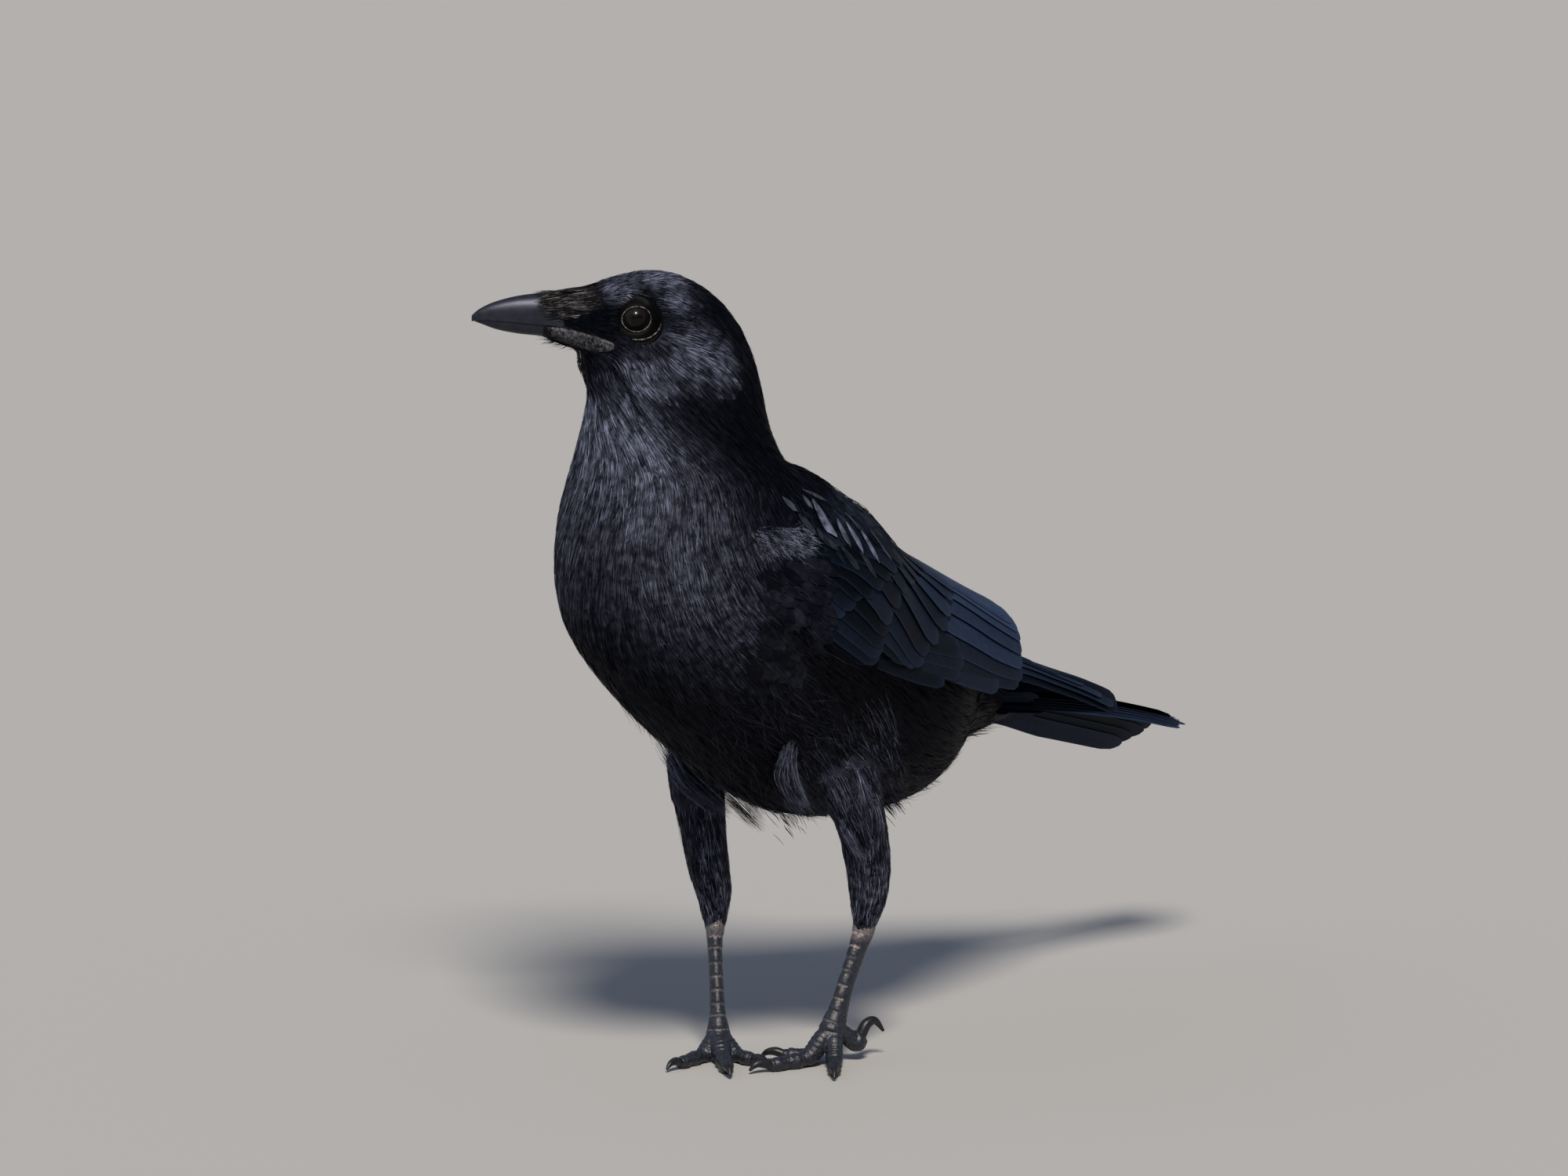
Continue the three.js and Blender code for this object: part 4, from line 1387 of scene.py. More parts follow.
# Sections of the bill: ahead of the head's origin, height of its ridge, of its cutting edge and of its
# keel, and half its width.
BILL = [
    (14, 7.4, -5.6, -12.6, 7.6),
    (26, 7.9, -5, -12.4, 7.4),
    (36, 7.7, -3.6, -10, 6.2),
    (46, 6.7, -2.7, -8.6, 4.8),
    (55, 4.6, -2, -6.6, 3.3),
    (61, 2, -1.9, -4.5, 1.9),
    (64.4, -0.7, -2.5, -3.2, 0.7),
]
BILL_STEPS = 14
BILL_AROUND = 49
LOWER_SLIMMER = 0.87  # the lower half's width to the upper's
LOWER_SHORTER = 1.2  # how far behind the upper half's tip the lower one ends


def bill_half(upper):
    """The outer face of one half of the bill, from its left cutting edge round to its right."""
    rows = between(BILL, BILL_STEPS)
    ahead, close, wide = rows[:, 0], rows[:, 2], rows[:, 4]
    far = rows[:, 1] if upper else rows[:, 3]
    if not upper:
        wide = wide * LOWER_SLIMMER
        ahead = ahead - LOWER_SHORTER * smoothstep(50, BILL[-1][0], ahead)
    angle = np.linspace(0, np.pi, BILL_AROUND)
    rise = np.sin(angle) ** 0.9
    left = wide[:, None] * np.cos(angle)
    lip = -0.5 if upper else 0.1
    above = (close + lip)[:, None] + (far - close - lip)[:, None] * rise
    return Sheet(on_head(ahead[:, None] + 0 * left, left, above), False, -1 if upper else 1)


def close_sheet(sheet, inner):
    """Points and quads of a solid between two sheets of the same grid."""
    rows, columns = sheet.rows, sheet.columns
    points = np.concatenate([sheet.points.reshape(-1, 3), inner.reshape(-1, 3)])
    outer_faces = grid_faces(rows, columns)
    inner_faces = outer_faces[:, ::-1] + rows * columns
    grid = np.arange(rows * columns).reshape(rows, columns)
    edge = np.concatenate([grid[0], grid[1:, -1], grid[-1, -2::-1], grid[-2:0:-1, 0]])
    after = np.roll(edge, -1)
    rim = np.stack([after, edge, edge + rows * columns, after + rows * columns], -1)
    return points, np.concatenate([outer_faces, inner_faces, rim])


# ---- Eyes ----

EYEBALL = 6.6  # radius
EYE_SUNK = 1.1  # the eyeball's middle, in from its node's
LID_WIDE, LID_TALL = 5.9, 5.15  # half the eye's opening
BEADS = 44  # along the rim of the lids


def eye_point(side, ahead, above, out):
    """A place given from an eye's middle."""
    outward = HEAD_LEFT * SIDES[side]
    return place_from(EYES[side], (ahead, HEAD_AHEAD), (above, UPWARD), (out, outward))


def eyeball_mesh(side):
    """The front of the eyeball, with its cornea bulging a little past the globe."""
    rings, around = 40, 64
    radial, turn = np.meshgrid(np.linspace(0.002, 1, rings), turns(around), indexing="ij")
    angle = radial * math.radians(100)
    bulge = 0.35 * np.exp(-((angle / 0.62) ** 4))
    reach = EYEBALL - 0.15 + bulge
    flat = reach * np.sin(angle)
    out = reach * np.cos(angle) - EYE_SUNK
    points = eye_point(side, flat * np.cos(turn), flat * np.sin(turn), out)
    return points.reshape(-1, 3), grid_faces(rings, around, True)[:, :: SIDES[side]], angle.ravel()


def face_reach(side, tree, ahead, above):
    """How far out from an eye's middle the face lies, at places given from the eye's middle."""
    eye_at = from_head(EYES[side][None])[0]
    return cast_side(tree, side, ahead + eye_at[0], above + eye_at[2]) - abs(eye_at[1])


def lid_reach(ahead, above, sunk):
    """How far out the lids lie, as a shell half a millimetre off the eyeball."""
    return np.sqrt((EYEBALL + 0.5) ** 2 - ahead**2 - above**2) - sunk


def lid_rim(side):
    """The beaded rim of the lids, round the whole eye."""
    turn = np.radians(np.linspace(0, 360, 361))
    ahead, above = LID_WIDE * np.cos(turn), LID_TALL * np.sin(turn)
    bead = 0.22 * (1 + 0.3 * np.cos(BEADS * turn))
    return bead_strip(side, ahead, above, lid_reach(ahead, above, 1.35), bead)


def lid_fold(side, tree):
    """The pale fold behind and below the eye, in a broken crescent."""
    share = shares(200)
    turn = np.radians(-170 + 95 * share)
    ahead, above = 9.4 * np.cos(turn), 7.5 * np.sin(turn)
    out = face_reach(side, tree, ahead * 1.1, above * 1.1) - 0.35
    broken = 0.75 + 0.4 * np.sin(23 * share) * np.sin(57 * share)
    return bead_strip(side, ahead, above, out, 0.33 * broken * np.sin(np.pi * share) ** 0.4)


def bead_strip(side, ahead, above, out, bead):
    """A round strip through places given from an eye's middle. bead is its radius at each."""
    around = 12
    middle_line = eye_point(side, ahead, above, out)
    outward = unit(middle_line - EYES[side])
    across = np.cross(unit(np.gradient(middle_line, axis=0)), outward)
    angles = turns(around)
    ring = np.cos(angles)[:, None] * across[:, None] + np.sin(angles)[:, None] * outward[:, None]
    points = middle_line[:, None] + ring * bead[:, None, None]
    return points.reshape(-1, 3), grid_faces(len(ahead), around, True)


def face_tree():
    """Head and bill as one form to cast onto."""
    parts = [node_part(name) for name in ("head", "neck", "bill_upper", "bill_lower")]
    return tree_of(fuse(parts, 0.9, 4))


BESIDE_HEAD = 40  # out of the head, where casts onto the face start
CAST_MISSED = 4  # what a cast beside the face gives


def cast_side(tree, side, ahead, above):
    """How far out the face lies at places given ahead of and above the head's origin."""
    inward = Vector(-HEAD_LEFT * SIDES[side])
    starts = on_head(ahead, BESIDE_HEAD * SIDES[side] + 0 * ahead, above)
    reach = np.full(ahead.shape, float(CAST_MISSED))
    for i in np.ndindex(ahead.shape):
        hit = tree.ray_cast(Vector(starts[i]), inward)
        if hit[0] is not None:
            reach[i] = BESIDE_HEAD - hit[3]
    return reach


def plate_mesh(side, tree, rng):
    """The bare, crusted plate between the bill's lower half and the cheek."""
    rows = between(PLATE, 10)
    share = shares(25)
    ahead = rows[:, :1] + 0 * share
    above = rows[:, 1:2] * (1 - share) + rows[:, 2:3] * share
    reach = blur(cast_side(tree, side, ahead, above), 1, False)
    edge = np.minimum(share, 1 - share)[None] * 2
    end = np.minimum(shares(len(rows)), np.linspace(1, 0, len(rows)))[:, None] * 2
    swell = smoothstep(0, 0.35, edge) * smoothstep(0, 0.25, end)
    crust = blur(rng.normal(0, 1, ahead.shape), 1, False) * 0.55
    groove = 0.5 * np.exp(-(((share - 0.12) / 0.06) ** 2))[None]
    reach = reach - 0.8 + 1.0 * swell + crust * swell - groove
    points = on_head(ahead, reach * SIDES[side], above)
    paler = swell * (1.1 - 0.3 * share[None]) * np.interp(ahead, [8, 16, 30, 36], [1, 0.75, 1, 0.6])
    return points.reshape(-1, 3), grid_faces(*ahead.shape)[:, :: -SIDES[side]], paler.ravel()


def lid_skin_mesh(side, tree):
    """The bare ring of skin between the rim of the lids and the face's feathers."""
    rings, around = 12, 96
    share, turn = np.meshgrid(shares(rings), turns(around), indexing="ij")
    wide, tall = LID_WIDE + 4.6 * share, LID_TALL + 4.4 * share
    ahead, above = wide * np.cos(turn), tall * np.sin(turn)
    face = face_reach(side, tree, ahead[-1] * 1.1, above[-1] * 1.1)
    rim = lid_reach(ahead[0], above[0], 1.6)
    blend = smoothstep(0, 1, share)
    out = rim[None] * (1 - blend) + (face[None] - 1.1) * blend - 0.5 * np.sin(np.pi * share)
    points = eye_point(side, ahead, above, out)
    return points.reshape(-1, 3), grid_faces(rings, around, True)[:, :: SIDES[side]]


UPPER_BILL, LOWER_BILL = bill_half(True), bill_half(False)
BILL_RIDGE = (BILL_AROUND - 1) / 2  # the column along the ridge or the keel


def above_edge(column):
    """How far columns of the bill lie from its cutting edge, in columns."""
    return np.minimum(column, 2 * BILL_RIDGE - column)


def forehead_bristles(tufts, rng):
    """Bristles at the front of the head that lie forward over the root of the bill."""

    def on_forehead(row, column, points):
        place = from_head(points)
        top = np.interp(place[:, 0], [12, 30], [2.5, -3.5])
        return (row < 2.2 * RINGS_BETWEEN) & (place[:, 2] > top) & (place[:, 0] > 11)

    row, column = scatter(BODY, even(0.8), on_forehead, rng, 3)
    n = len(row)
    length = rng.uniform(8, 13, n)
    share = shares(6)
    rise = (rng.uniform(0.1, 0.9, n)[:, None] - 0.9 * share) * share
    paths = BODY.walk(row, column, length, np.pi + rng.normal(0, 0.12, n), 6)
    half = rng.uniform(0.09, 0.2, n)
    ahead = from_head(BODY.at(row, column)[0])[:, 0]
    tone = rng.uniform(0, 1, n) ** 3 * smoothstep(10, 20, ahead)
    root = np.stack([column / AROUND, row / 40], -1)
    tufts.add_strands(paths, half, rise, rng.normal(0, 0.4, n), tone, root)


def nostril_bristles(tufts, rng):
    """Bristles that cover the nostrils. They end together, a third of the way along the bill."""

    def over_nostril(row, column, points):
        low = np.interp(row, [0, 12, 30], [3, 5, 12])
        return (row < 25) & (row > 10) & (above_edge(column) > low)

    row, column = scatter(UPPER_BILL, even(0.7), over_nostril, rng)
    n = len(row)
    ahead = np.interp(row, [0, 14, 28], [14, 26, 36])
    length = np.clip(37.5 - ahead + rng.normal(0, 1.3, n), 2, 13)
    turn = rng.normal(0, 0.12, n) + 0.12 * np.sign(column - BILL_RIDGE)
    share = shares(5)
    rise = rng.uniform(0.1, 1.0, n)[:, None] * share**0.6 - 0.1 + (26 - row[:, None]) * 0.02
    half = rng.uniform(0.08, 0.17, n)
    tone = rng.uniform(0, 1, n) ** 3 * (0.2 + 0.8 * (above_edge(column) / BILL_RIDGE))
    root = np.stack([column / BILL_AROUND, row / 30], -1)
    paths = UPPER_BILL.walk(row, column, length, turn, 5)
    tufts.add_strands(paths, half, rise, rng.normal(0, 0.4, n), tone, root)


def chin_bristles(tufts, rng):
    """Short bristles that stand out under the chin."""
    chin = lambda row, column, points: (row < 20) & (row > 1) & (np.abs(column - BILL_RIDGE) < 17)
    row, column = scatter(LOWER_BILL, even(0.8), chin, rng)
    n = len(row)
    rise = rng.uniform(0.5, 4.2, n)[:, None] * shares(5)
    paths = LOWER_BILL.walk(row, column, rng.uniform(4, 9, n), rng.normal(0, 0.3, n), 5)
    root = np.stack([column / BILL_AROUND, 1 - row / 30], -1)
    half = rng.uniform(0.1, 0.17, n)
    tufts.add_strands(paths, half, rise, rng.normal(0, 0.4, n), rng.uniform(0, 0.2, n), root)


def bristle_tufts(rng):
    """Stiff bristles round the root of the bill."""
    tufts = Tufts()
    for lay in (forehead_bristles, nostril_bristles, chin_bristles):
        lay(tufts, rng)
    return tufts


# ---- Coat over the legs and the back ----


def drape_strays(roots, heading, length, stray, steps, rng):
    """Paths over the whole form that follow heading(points), each turned aside a little."""
    turned = rng.normal(0, stray, len(roots))
    return BULK.drape(roots, lambda points: spin(heading(points), turned), length, steps)


def soft_feathers(tufts, roots, heading, length, half, rng, tone, fray, lift, depth=1.6, sink=0, stray=0.1):
    """Broad soft feathers draped over the whole form from their roots.

    fray is how uneven their tips are, lift how far the tips stand up, depth how much deeper the roots
    lie, sink how deep the whole of them lies and stray how far they turn aside."""
    n = len(roots)
    length = length * rng.uniform(0.85, 1.15, n)
    paths = drape_strays(roots, heading, length, stray, 7, rng)
    side = np.linspace(-1, 1, 7)
    reach = 1 - 0.22 * np.abs(side) ** 2.4 - rng.uniform(0, fray, (n, 7))
    share = shares(6)
    rise = depth * (share[None] ** 0.8 - 1) + rng.uniform(0, lift, n)[:, None] * share**2 - sink
    half = half * rng.uniform(0.88, 1.12, n)
    roll = rng.normal(0, 0.6 * stray, n)
    tufts.add(paths, half, reach, ovate, rise, roll, 0.12, rng.uniform(*tone, n), body_map(roots))


def soft_strands(tufts, roots, heading, length, half, rng, tone, lift=0.6, stray=0.14):
    """Loose barbs draped over the whole form from their roots."""
    n = len(roots)
    length = length * rng.uniform(0.7, 1.25, n)
    paths = drape_strays(roots, heading, length, stray, 4, rng)
    share = shares(4)
    rise = -0.3 + rng.uniform(0.3, lift + 0.3, n)[:, None] * share**0.7
    half = half * rng.uniform(0.6, 1.3, n)
    tones = rng.uniform(*tone, n)
    tufts.add_strands(paths, half, rise, rng.normal(0, 0.4, n), tones, body_map(roots))


def spin(directions, angle):
    """Directions turned about the bird's crosswise axis by an angle each."""
    y, z = directions[:, 1], directions[:, 2]
    turned = [directions[:, 0], y * np.cos(angle) - z * np.sin(angle), y * np.sin(angle) + z * np.cos(angle)]
    return np.stack(turned, -1)


# Mantle feathers from the shoulders back: place along the back, length and half width.
MANTLE = {
    "y": [-125, -90, -48, -16, 2],
    "length": [17, 22, 20, 14, 10],
    "half": [3.8, 4.6, 4.2, 2.8, 2],
}


def mantle_tufts(rng):
    """The soft feathers of the back, the shoulders and the forepart of the wings."""
    tufts = Tufts()
    apart = lambda points: np.interp(points[:, 1], [-125, -70, 30], [4, 4.6, 3])
    roots = BULK.spread(apart, lambda points, normals: in_mantle(points), rng)
    length, half = (np.interp(roots[:, 1], MANTLE["y"], MANTLE[size]) for size in ("length", "half"))
    length = length * np.interp(np.abs(roots[:, 0]), [42, 54], [1, 0.7])
    sink = np.interp(roots[:, 1], [-35, 5], [0.3, 1.4])[:, None]
    looks = {"fray": 0.05, "lift": 0.05, "sink": sink, "stray": 0.03}
    soft_feathers(tufts, roots, mantle_heading, length, half, rng, (0, 0.14), **looks)
    over_wings = lambda points, normals: in_mantle(points, 3) & (points[:, 1] < -5)
    roots = BULK.spread(even(3), over_wings, rng)
    soft_strands(tufts, roots, mantle_heading, 10, 0.2, rng, (0, 0.12), lift=0.25)
    return tufts


def wing_front_tufts(rng):
    """Breast feathers that lap over the front of both wings."""
    tufts = Tufts()

    def over_bend(points, normals):
        x, y, z = points.T
        return (y < -108) & (y > -132) & (np.abs(x) > 30) & (z > 176) & (z < 220)

    def heading(points):
        ahead = 0 * points + [0.1, 0.7, -0.6]
        ahead[:, 0] *= np.sign(points[:, 0])
        return ahead

    roots = BULK.spread(even(4.2), over_bend, rng)
    soft_feathers(tufts, roots, heading, 15, 3.4, rng, (0, 0.06), fray=0.25, lift=0.3, sink=-1.5)
    roots = BULK.spread(even(1.8), over_bend, rng)
    soft_strands(tufts, roots, heading, 11, 0.16, rng, (0, 0.14), lift=2.2)
    return tufts


def flank_tufts(name, rng):
    """Feathers that cover the join of a thigh to the body."""
    tufts = Tufts()
    top, knee = (np.array(LEGS[name]["thigh"][i][:3], float) for i in (0, 3))
    down = unit(knee - top)

    def near_top(points, normals):
        gap = points - top
        run = gap @ down
        aside = np.linalg.norm(gap - run[:, None] * down, axis=1)
        outer = normals[:, 0] * SIDES[name] > -0.3
        return (aside < 27) & (run > -28) & (run < 26) & outer

    def heading(points):
        return down + [0, 0.25, 0] + 0 * points

    roots = BULK.spread(even(4.6), near_top, rng)
    soft_feathers(tufts, roots, heading, 21, 4.2, rng, (0, 0.12), depth=0.6, fray=0.25, lift=0.7)
    roots = BULK.spread(even(1.9), near_top, rng)
    soft_strands(tufts, roots, heading, 15, 0.22, rng, (0, 0.35), lift=1.4)
    return tufts


# Lance-shaped feathers on the shoulder, painted pale as a highlight where the sun glints on them: root and
# tip on the left side, half width and paleness.
LANCES = [
    ((43, -101, 244), (45, -99, 240), 1.4, 0.35),
    ((44, -94.9, 241.7), (50, -88.2, 226.8), 2.9, 0.62),
    ((44.5, -80.2, 231.3), (51.5, -82, 222), 1.9, 0.48),
    ((44.9, -74.8, 229.1), (52.3, -74.5, 218.5), 1.8, 0.56),
    ((44.6, -66.5, 225.5), (52.2, -64.5, 213), 1.9, 0.6),
    ((43, -57.2, 222.4), (48.2, -51.5, 210.5), 1.4, 0.22),
    ((42, -98.4, 246), (43, -84, 240), 1.1, 0.2),
    ((42, -71.3, 232.7), (46, -67, 226), 1, 0.2),
    ((45, -114.9, 246), (47.5, -109.9, 241), 1.5, 0.25),
    ((47, -108, 238), (51, -101, 231), 1.6, 0.13),
    ((49, -98, 231), (53, -92, 222), 2, 0.1),
    ((51, -88, 221), (55, -82, 212), 2, 0.08),
    ((51, -76, 217), (55, -71, 208), 2, 0.08),
    ((53, -101.5, 183.5), (45.5, -72.8, 164), 0.5, 0.4),
]


# The patch is a painted highlight: pale barbs where the sun glints on the shoulder.
GLINT_PATCH_AT = np.array([48.5, -118.5, 230])  # the middle of the pale patch on the left shoulder
GLINT_PATCH_TRIES = 900


def lay_lances(tufts, side, rng):
    """The lance-shaped feathers of one shoulder, painted pale as a highlight."""
    roots, tips = (np.array([mark[k] for mark in LANCES], float) * [side, 1, 1] for k in (0, 1))
    half, tone = (np.array([mark[k] for mark in LANCES], float) for k in (2, 3))
    toward = unit(tips - roots)
    length = np.linalg.norm(tips - roots, axis=1) + 2.5
    paths = BULK.drape(roots, lambda points: toward, length, 8)
    columns = np.linspace(-1, 1, 7)
    reach = 1 - 0.25 * np.abs(columns) ** 2 - rng.uniform(0, 0.14, (len(LANCES), 7))
    rise = 0.3 + 0.5 * shares(8)[None] + np.zeros((len(LANCES), 1))
    tufts.add(paths, half, reach, lance_wide, rise, 0, 0.15, tone, body_map(roots))


def lay_glint_patch(tufts, side, rng):
    """The patch of loose barbs on one shoulder, painted pale as a highlight, denser toward its front."""
    patch = rng.uniform(-1, 1, (GLINT_PATCH_TRIES, 2))
    patch = patch[(patch**4).sum(1) + 0.4 * patch[:, 0] < rng.uniform(0, 1.2, GLINT_PATCH_TRIES)]
    back, up = [1.5 * side, 17, -1.5], [-side, 0, 5]
    roots = GLINT_PATCH_AT * [side, 1, 1] + patch[:, :1] * back + patch[:, 1:] * up
    heading = np.array([0.15 * side, 0.75, -0.5])
    soft_strands(tufts, roots, lambda points: heading + 0 * points, 7, 0.17, rng, (0.05, 1), 0.6, 0.3)


def shoulder_glints(rng):
    """The painted highlights on both shoulders: pale lance-shaped feathers and a patch of pale barbs."""
    tufts = Tufts()
    for side in SIDES.values():
        lay_lances(tufts, side, rng)
        lay_glint_patch(tufts, side, rng)
    return tufts


def belly_fringe(rng):
    """Loose downy barbs that stand out along the belly's lower edge and round the thighs."""
    tufts = Tufts()

    def hanging(row, column, points):
        below = np.abs(column * 360 / AROUND - 180) < 55
        return (row > 9.8 * RINGS_BETWEEN) & below & ~bare_face(points)

    row, column = scatter(BODY, even(2.6), hanging, rng, 2)
    n = len(row)
    paths = BODY.walk(row, column, rng.uniform(10, 20, n), rng.normal(0, 0.35, n), 6)
    share = shares(6)
    rise = rng.uniform(0.3, 3.6, n)[:, None] * share**1.5
    half = rng.uniform(0.1, 0.2, n)
    tone = rng.uniform(0, 0.12, n)
    tufts.add_strands(paths, half, rise, rng.normal(0, 0.4, n), tone, body_root(row, column))
    for start, bow, end, *looks in PLUMES:
        plume(tufts, *(np.array(place, float) for place in (start, bow, end)), *looks, rng)
    return tufts


# Loose plumes: root, the place that their barbs bow toward, tip, how many barbs, how far they spread at the
# root and the tip, and how pale they are, which is painted highlight on the barbs that catch the sun.
PLUMES = [
    ((36, -98.2, 141), (27, -98, 124), (27, -77, 108), 340, 2.4, 3.4, 1.25),  # before the left thigh
    ((-31, -97, 131), (-14, -104, 114), (-17, -73.5, 100), 460, 3.2, 2.6, 2.4),  # over the right thigh
    ((38.5, -60, 124), (41.5, -59, 115), (37.5, -54, 106), 200, 1, 4, 1.4),  # on the left thigh
    ((38, -51, 111), (42, -50, 102), (36.5, -45.5, 92), 150, 2.4, 3, 1.2),
    ((27, -59, 105), (34, -60, 96), (33, -51, 85), 150, 1.6, 2.4, 1.2),
    ((-18, -80, 112), (-13, -72, 103), (-8, -63, 92), 90, 2, 0.6, 0.08),  # between the legs
    ((-12, -73, 107), (-10, -66, 103), (-11, -60, 96), 110, 6, 5, 0.7),
    ((0, -62, 105), (1, -58, 102), (1, -55, 97), 160, 9, 8, 0.35),
    ((24, -30, 110), (28, -24, 104), (28, -19, 98), 70, 5, 5, 0.2),  # behind the left thigh
    ((0, 46, 129), (0, 58, 120), (-3, 78, 117), 520, 6, 4, 0.05),  # under the tail
]


def plume(tufts, start, bow, end, count, near, far, paler, rng):
    """A loose plume of barbs that curve from about one place to another."""
    aside = rng.normal(0, 0.5, (count, 3))
    begin = start + aside * near + (bow - start) * rng.uniform(0, 0.6, (count, 1))
    finish = end + aside * far + rng.normal(0, 0.6, (count, 3))
    halfway = (start + end) / 2
    turn = halfway + (bow - halfway) * rng.uniform(0.1, 1.2, (count, 1)) + aside * near
    length = rng.uniform(0.7, 1, (count, 1, 1))
    share = shares(7)[None, :, None] * length
    path = begin[:, None] * (1 - share) ** 2 + finish[:, None] * share**2
    path = path + 2 * share * (1 - share) * turn[:, None]
    out = unit(np.array([start[0], 0.3 * start[1], 0]))
    paths = with_across(path, np.broadcast_to(out, path.shape))
    half = rng.uniform(0.08, 0.18, count)
    # paler sets how strongly the plume's barbs are painted with highlight.
    tone = rng.uniform(0.1, 1, count) ** 1.8 * paler
    roll = rng.normal(0, 0.5, count)
    tufts.add_strands(paths, half, np.zeros((count, 7)), roll, tone, body_map(begin))


THIGH_AROUND = 60
THIGH_ROWS = [0, 30, 60]  # at its top, at its middle and at its cuff


def thigh_tufts(name, rng):
    """The close feathering of one leg, down to its cuff above the heel."""
    thigh = Tube(feathered_thigh(LEGS[name]), THIGH_FRONT, 10, THIGH_AROUND)
    ends = THIGH_ROWS[::2]
    tufts = Tufts()
    every = lambda row, column, points: np.ones(len(row), bool)
    row, column = scatter(thigh, lambda row, column: np.interp(row, ends, [3.4, 2.2]), every, rng)
    n = len(row)
    length = np.interp(row, THIGH_ROWS, [17, 12, 4.6]) * rng.uniform(0.85, 1.15, n)
    paths = thigh.walk(row, column, length, rng.normal(0, 0.12, n), 6)
    side = np.linspace(-1, 1, 6)
    reach = 1 - 0.35 * np.abs(side) ** 2 - rng.uniform(0, 0.2, (n, 6))
    share = shares(5)
    rise = 1.3 * (share[None] ** 0.8 - 1) + rng.uniform(0, 0.4, n)[:, None] * share**2
    root = np.stack([column / THIGH_AROUND, row / thigh.rows], -1)
    half = np.interp(row, ends, [2.6, 1.3])
    tufts.add(paths, half, reach, ovate, rise, rng.normal(0, 0.1, n), 0.14, rng.uniform(0, 0.16, n), root)
    row, column = scatter(thigh, even(0.95), every, rng, 2)
    n = len(row)
    length = np.interp(row, THIGH_ROWS, [12, 9, 3.4]) * rng.uniform(0.7, 1.2, n)
    paths = thigh.walk(row, column, length, rng.normal(0, 0.15, n), 4)
    share = shares(4)
    rise = -0.3 + rng.uniform(0.3, 0.9, n)[:, None] * share**0.7
    root = np.stack([column / THIGH_AROUND, row / thigh.rows], -1)
    half = rng.uniform(0.07, 0.17, n)
    tone = rng.uniform(0, 0.95, n) ** 2
    tufts.add_strands(paths, half, rise, rng.normal(0, 0.5, n), tone, root)
    return tufts


# ---- Settings ----


class CrowStageSettings(bpy.types.PropertyGroup):
    """Where the camera stands and what it takes in."""

    azimuth: FloatProperty(
        name="Azimuth", description="Camera's turn about the bird", default=math.radians(40), unit="ROTATION"
    )
    elevation: FloatProperty(
        name="Elevation", description="Camera's height angle", default=math.radians(12), unit="ROTATION"
    )
    distance: FloatProperty(name="Distance", description="Camera to the bird", default=15, unit="LENGTH")
    width: FloatProperty(
        name="Width", description="What the frame takes in at the bird", default=0.6349, unit="LENGTH"
    )
    aside: FloatProperty(
        name="Aside", description="Aim to the right of the box's middle", default=-0.0384, unit="LENGTH"
    )
    over: FloatProperty(
        name="Over", description="Aim above the box's middle", default=0.0166, unit="LENGTH"
    )


class CrowPlumageSettings(bpy.types.PropertyGroup):
    """The colours of the body feathers, and the start of the random draws."""

    black: FloatVectorProperty(
        name="Black", description="Deep colour of body feathers", default=linear("#030408"), subtype="COLOR"
    )
    # The pale end of the body feathers' colour, which carries both wear and painted highlight.
    worn_and_sheen: FloatVectorProperty(
        name="Worn and sheen", description="Palest body feathers", default=linear("#6c7186"), subtype="COLOR"
    )
    seed: IntProperty(name="Seed", description="Starts the random draws", default=7)


# ---- Stage ----


def direction(azimuth, elevation):
    """From the bird toward a lamp or the camera. Azimuth 0 is in front of it."""
    flat = math.cos(elevation)
    return Vector((math.sin(azimuth) * flat, -math.cos(azimuth) * flat, math.sin(elevation)))


LAMPS = [  # name, azimuth, elevation, softness in degrees, strength, colour
    ("key", 44, 50, 14, 4.2, "#fff6ea"),
    ("side", -40, 35, 60, 0.35, "#dfe8ff"),
]
SKY, SKY_STRENGTH = "#b4c6e6", 0.34
SENSOR = 36  # the camera's width, in real millimetres
FLOOR_HALF = 12000


def add_camera(context, centre):
    """The camera, which looks past the bird as the settings say."""
    settings = context.scene.crow_stage
    back = direction(settings.azimuth, settings.elevation)
    right = Vector((math.cos(settings.azimuth), math.sin(settings.azimuth), 0))
    aim = centre + right * settings.aside + back.cross(right) * settings.over
    lens = bpy.data.cameras.new("camera")
    lens.sensor_width = SENSOR
    lens.lens = SENSOR * settings.distance / settings.width
    lens.clip_end = 100
    camera = bpy.data.objects.new("camera", lens)
    camera.location = aim + back * settings.distance
    camera.rotation_euler = back.to_track_quat("Z", "Y").to_euler()
    context.scene.collection.objects.link(camera)
    context.scene.camera = camera


def add_lamps(context, centre):
    """The soft lamps, which shine on the bird from far away."""
    for name, turn, rise, softness, power, tint in LAMPS:
        lamp = bpy.data.lights.new(name, "SUN")
        lamp.angle = math.radians(softness)
        lamp.energy = power
        lamp.color = linear(tint)
        made = bpy.data.objects.new(name, lamp)
        toward = direction(math.radians(turn), math.radians(rise))
        made.location = centre + toward * context.scene.crow_stage.distance
        made.rotation_euler = toward.to_track_quat("Z", "Y").to_euler()
        context.scene.collection.objects.link(made)


def add_sky(context):
    """The even light from all round."""
    world = bpy.data.worlds.new("studio")
    world.use_nodes = True
    sky = world.node_tree.nodes["Background"]
    sky.inputs["Color"].default_value = (*linear(SKY), 1)
    sky.inputs["Strength"].default_value = SKY_STRENGTH
    context.scene.world = world
    context.scene.view_settings.view_transform = "Standard"


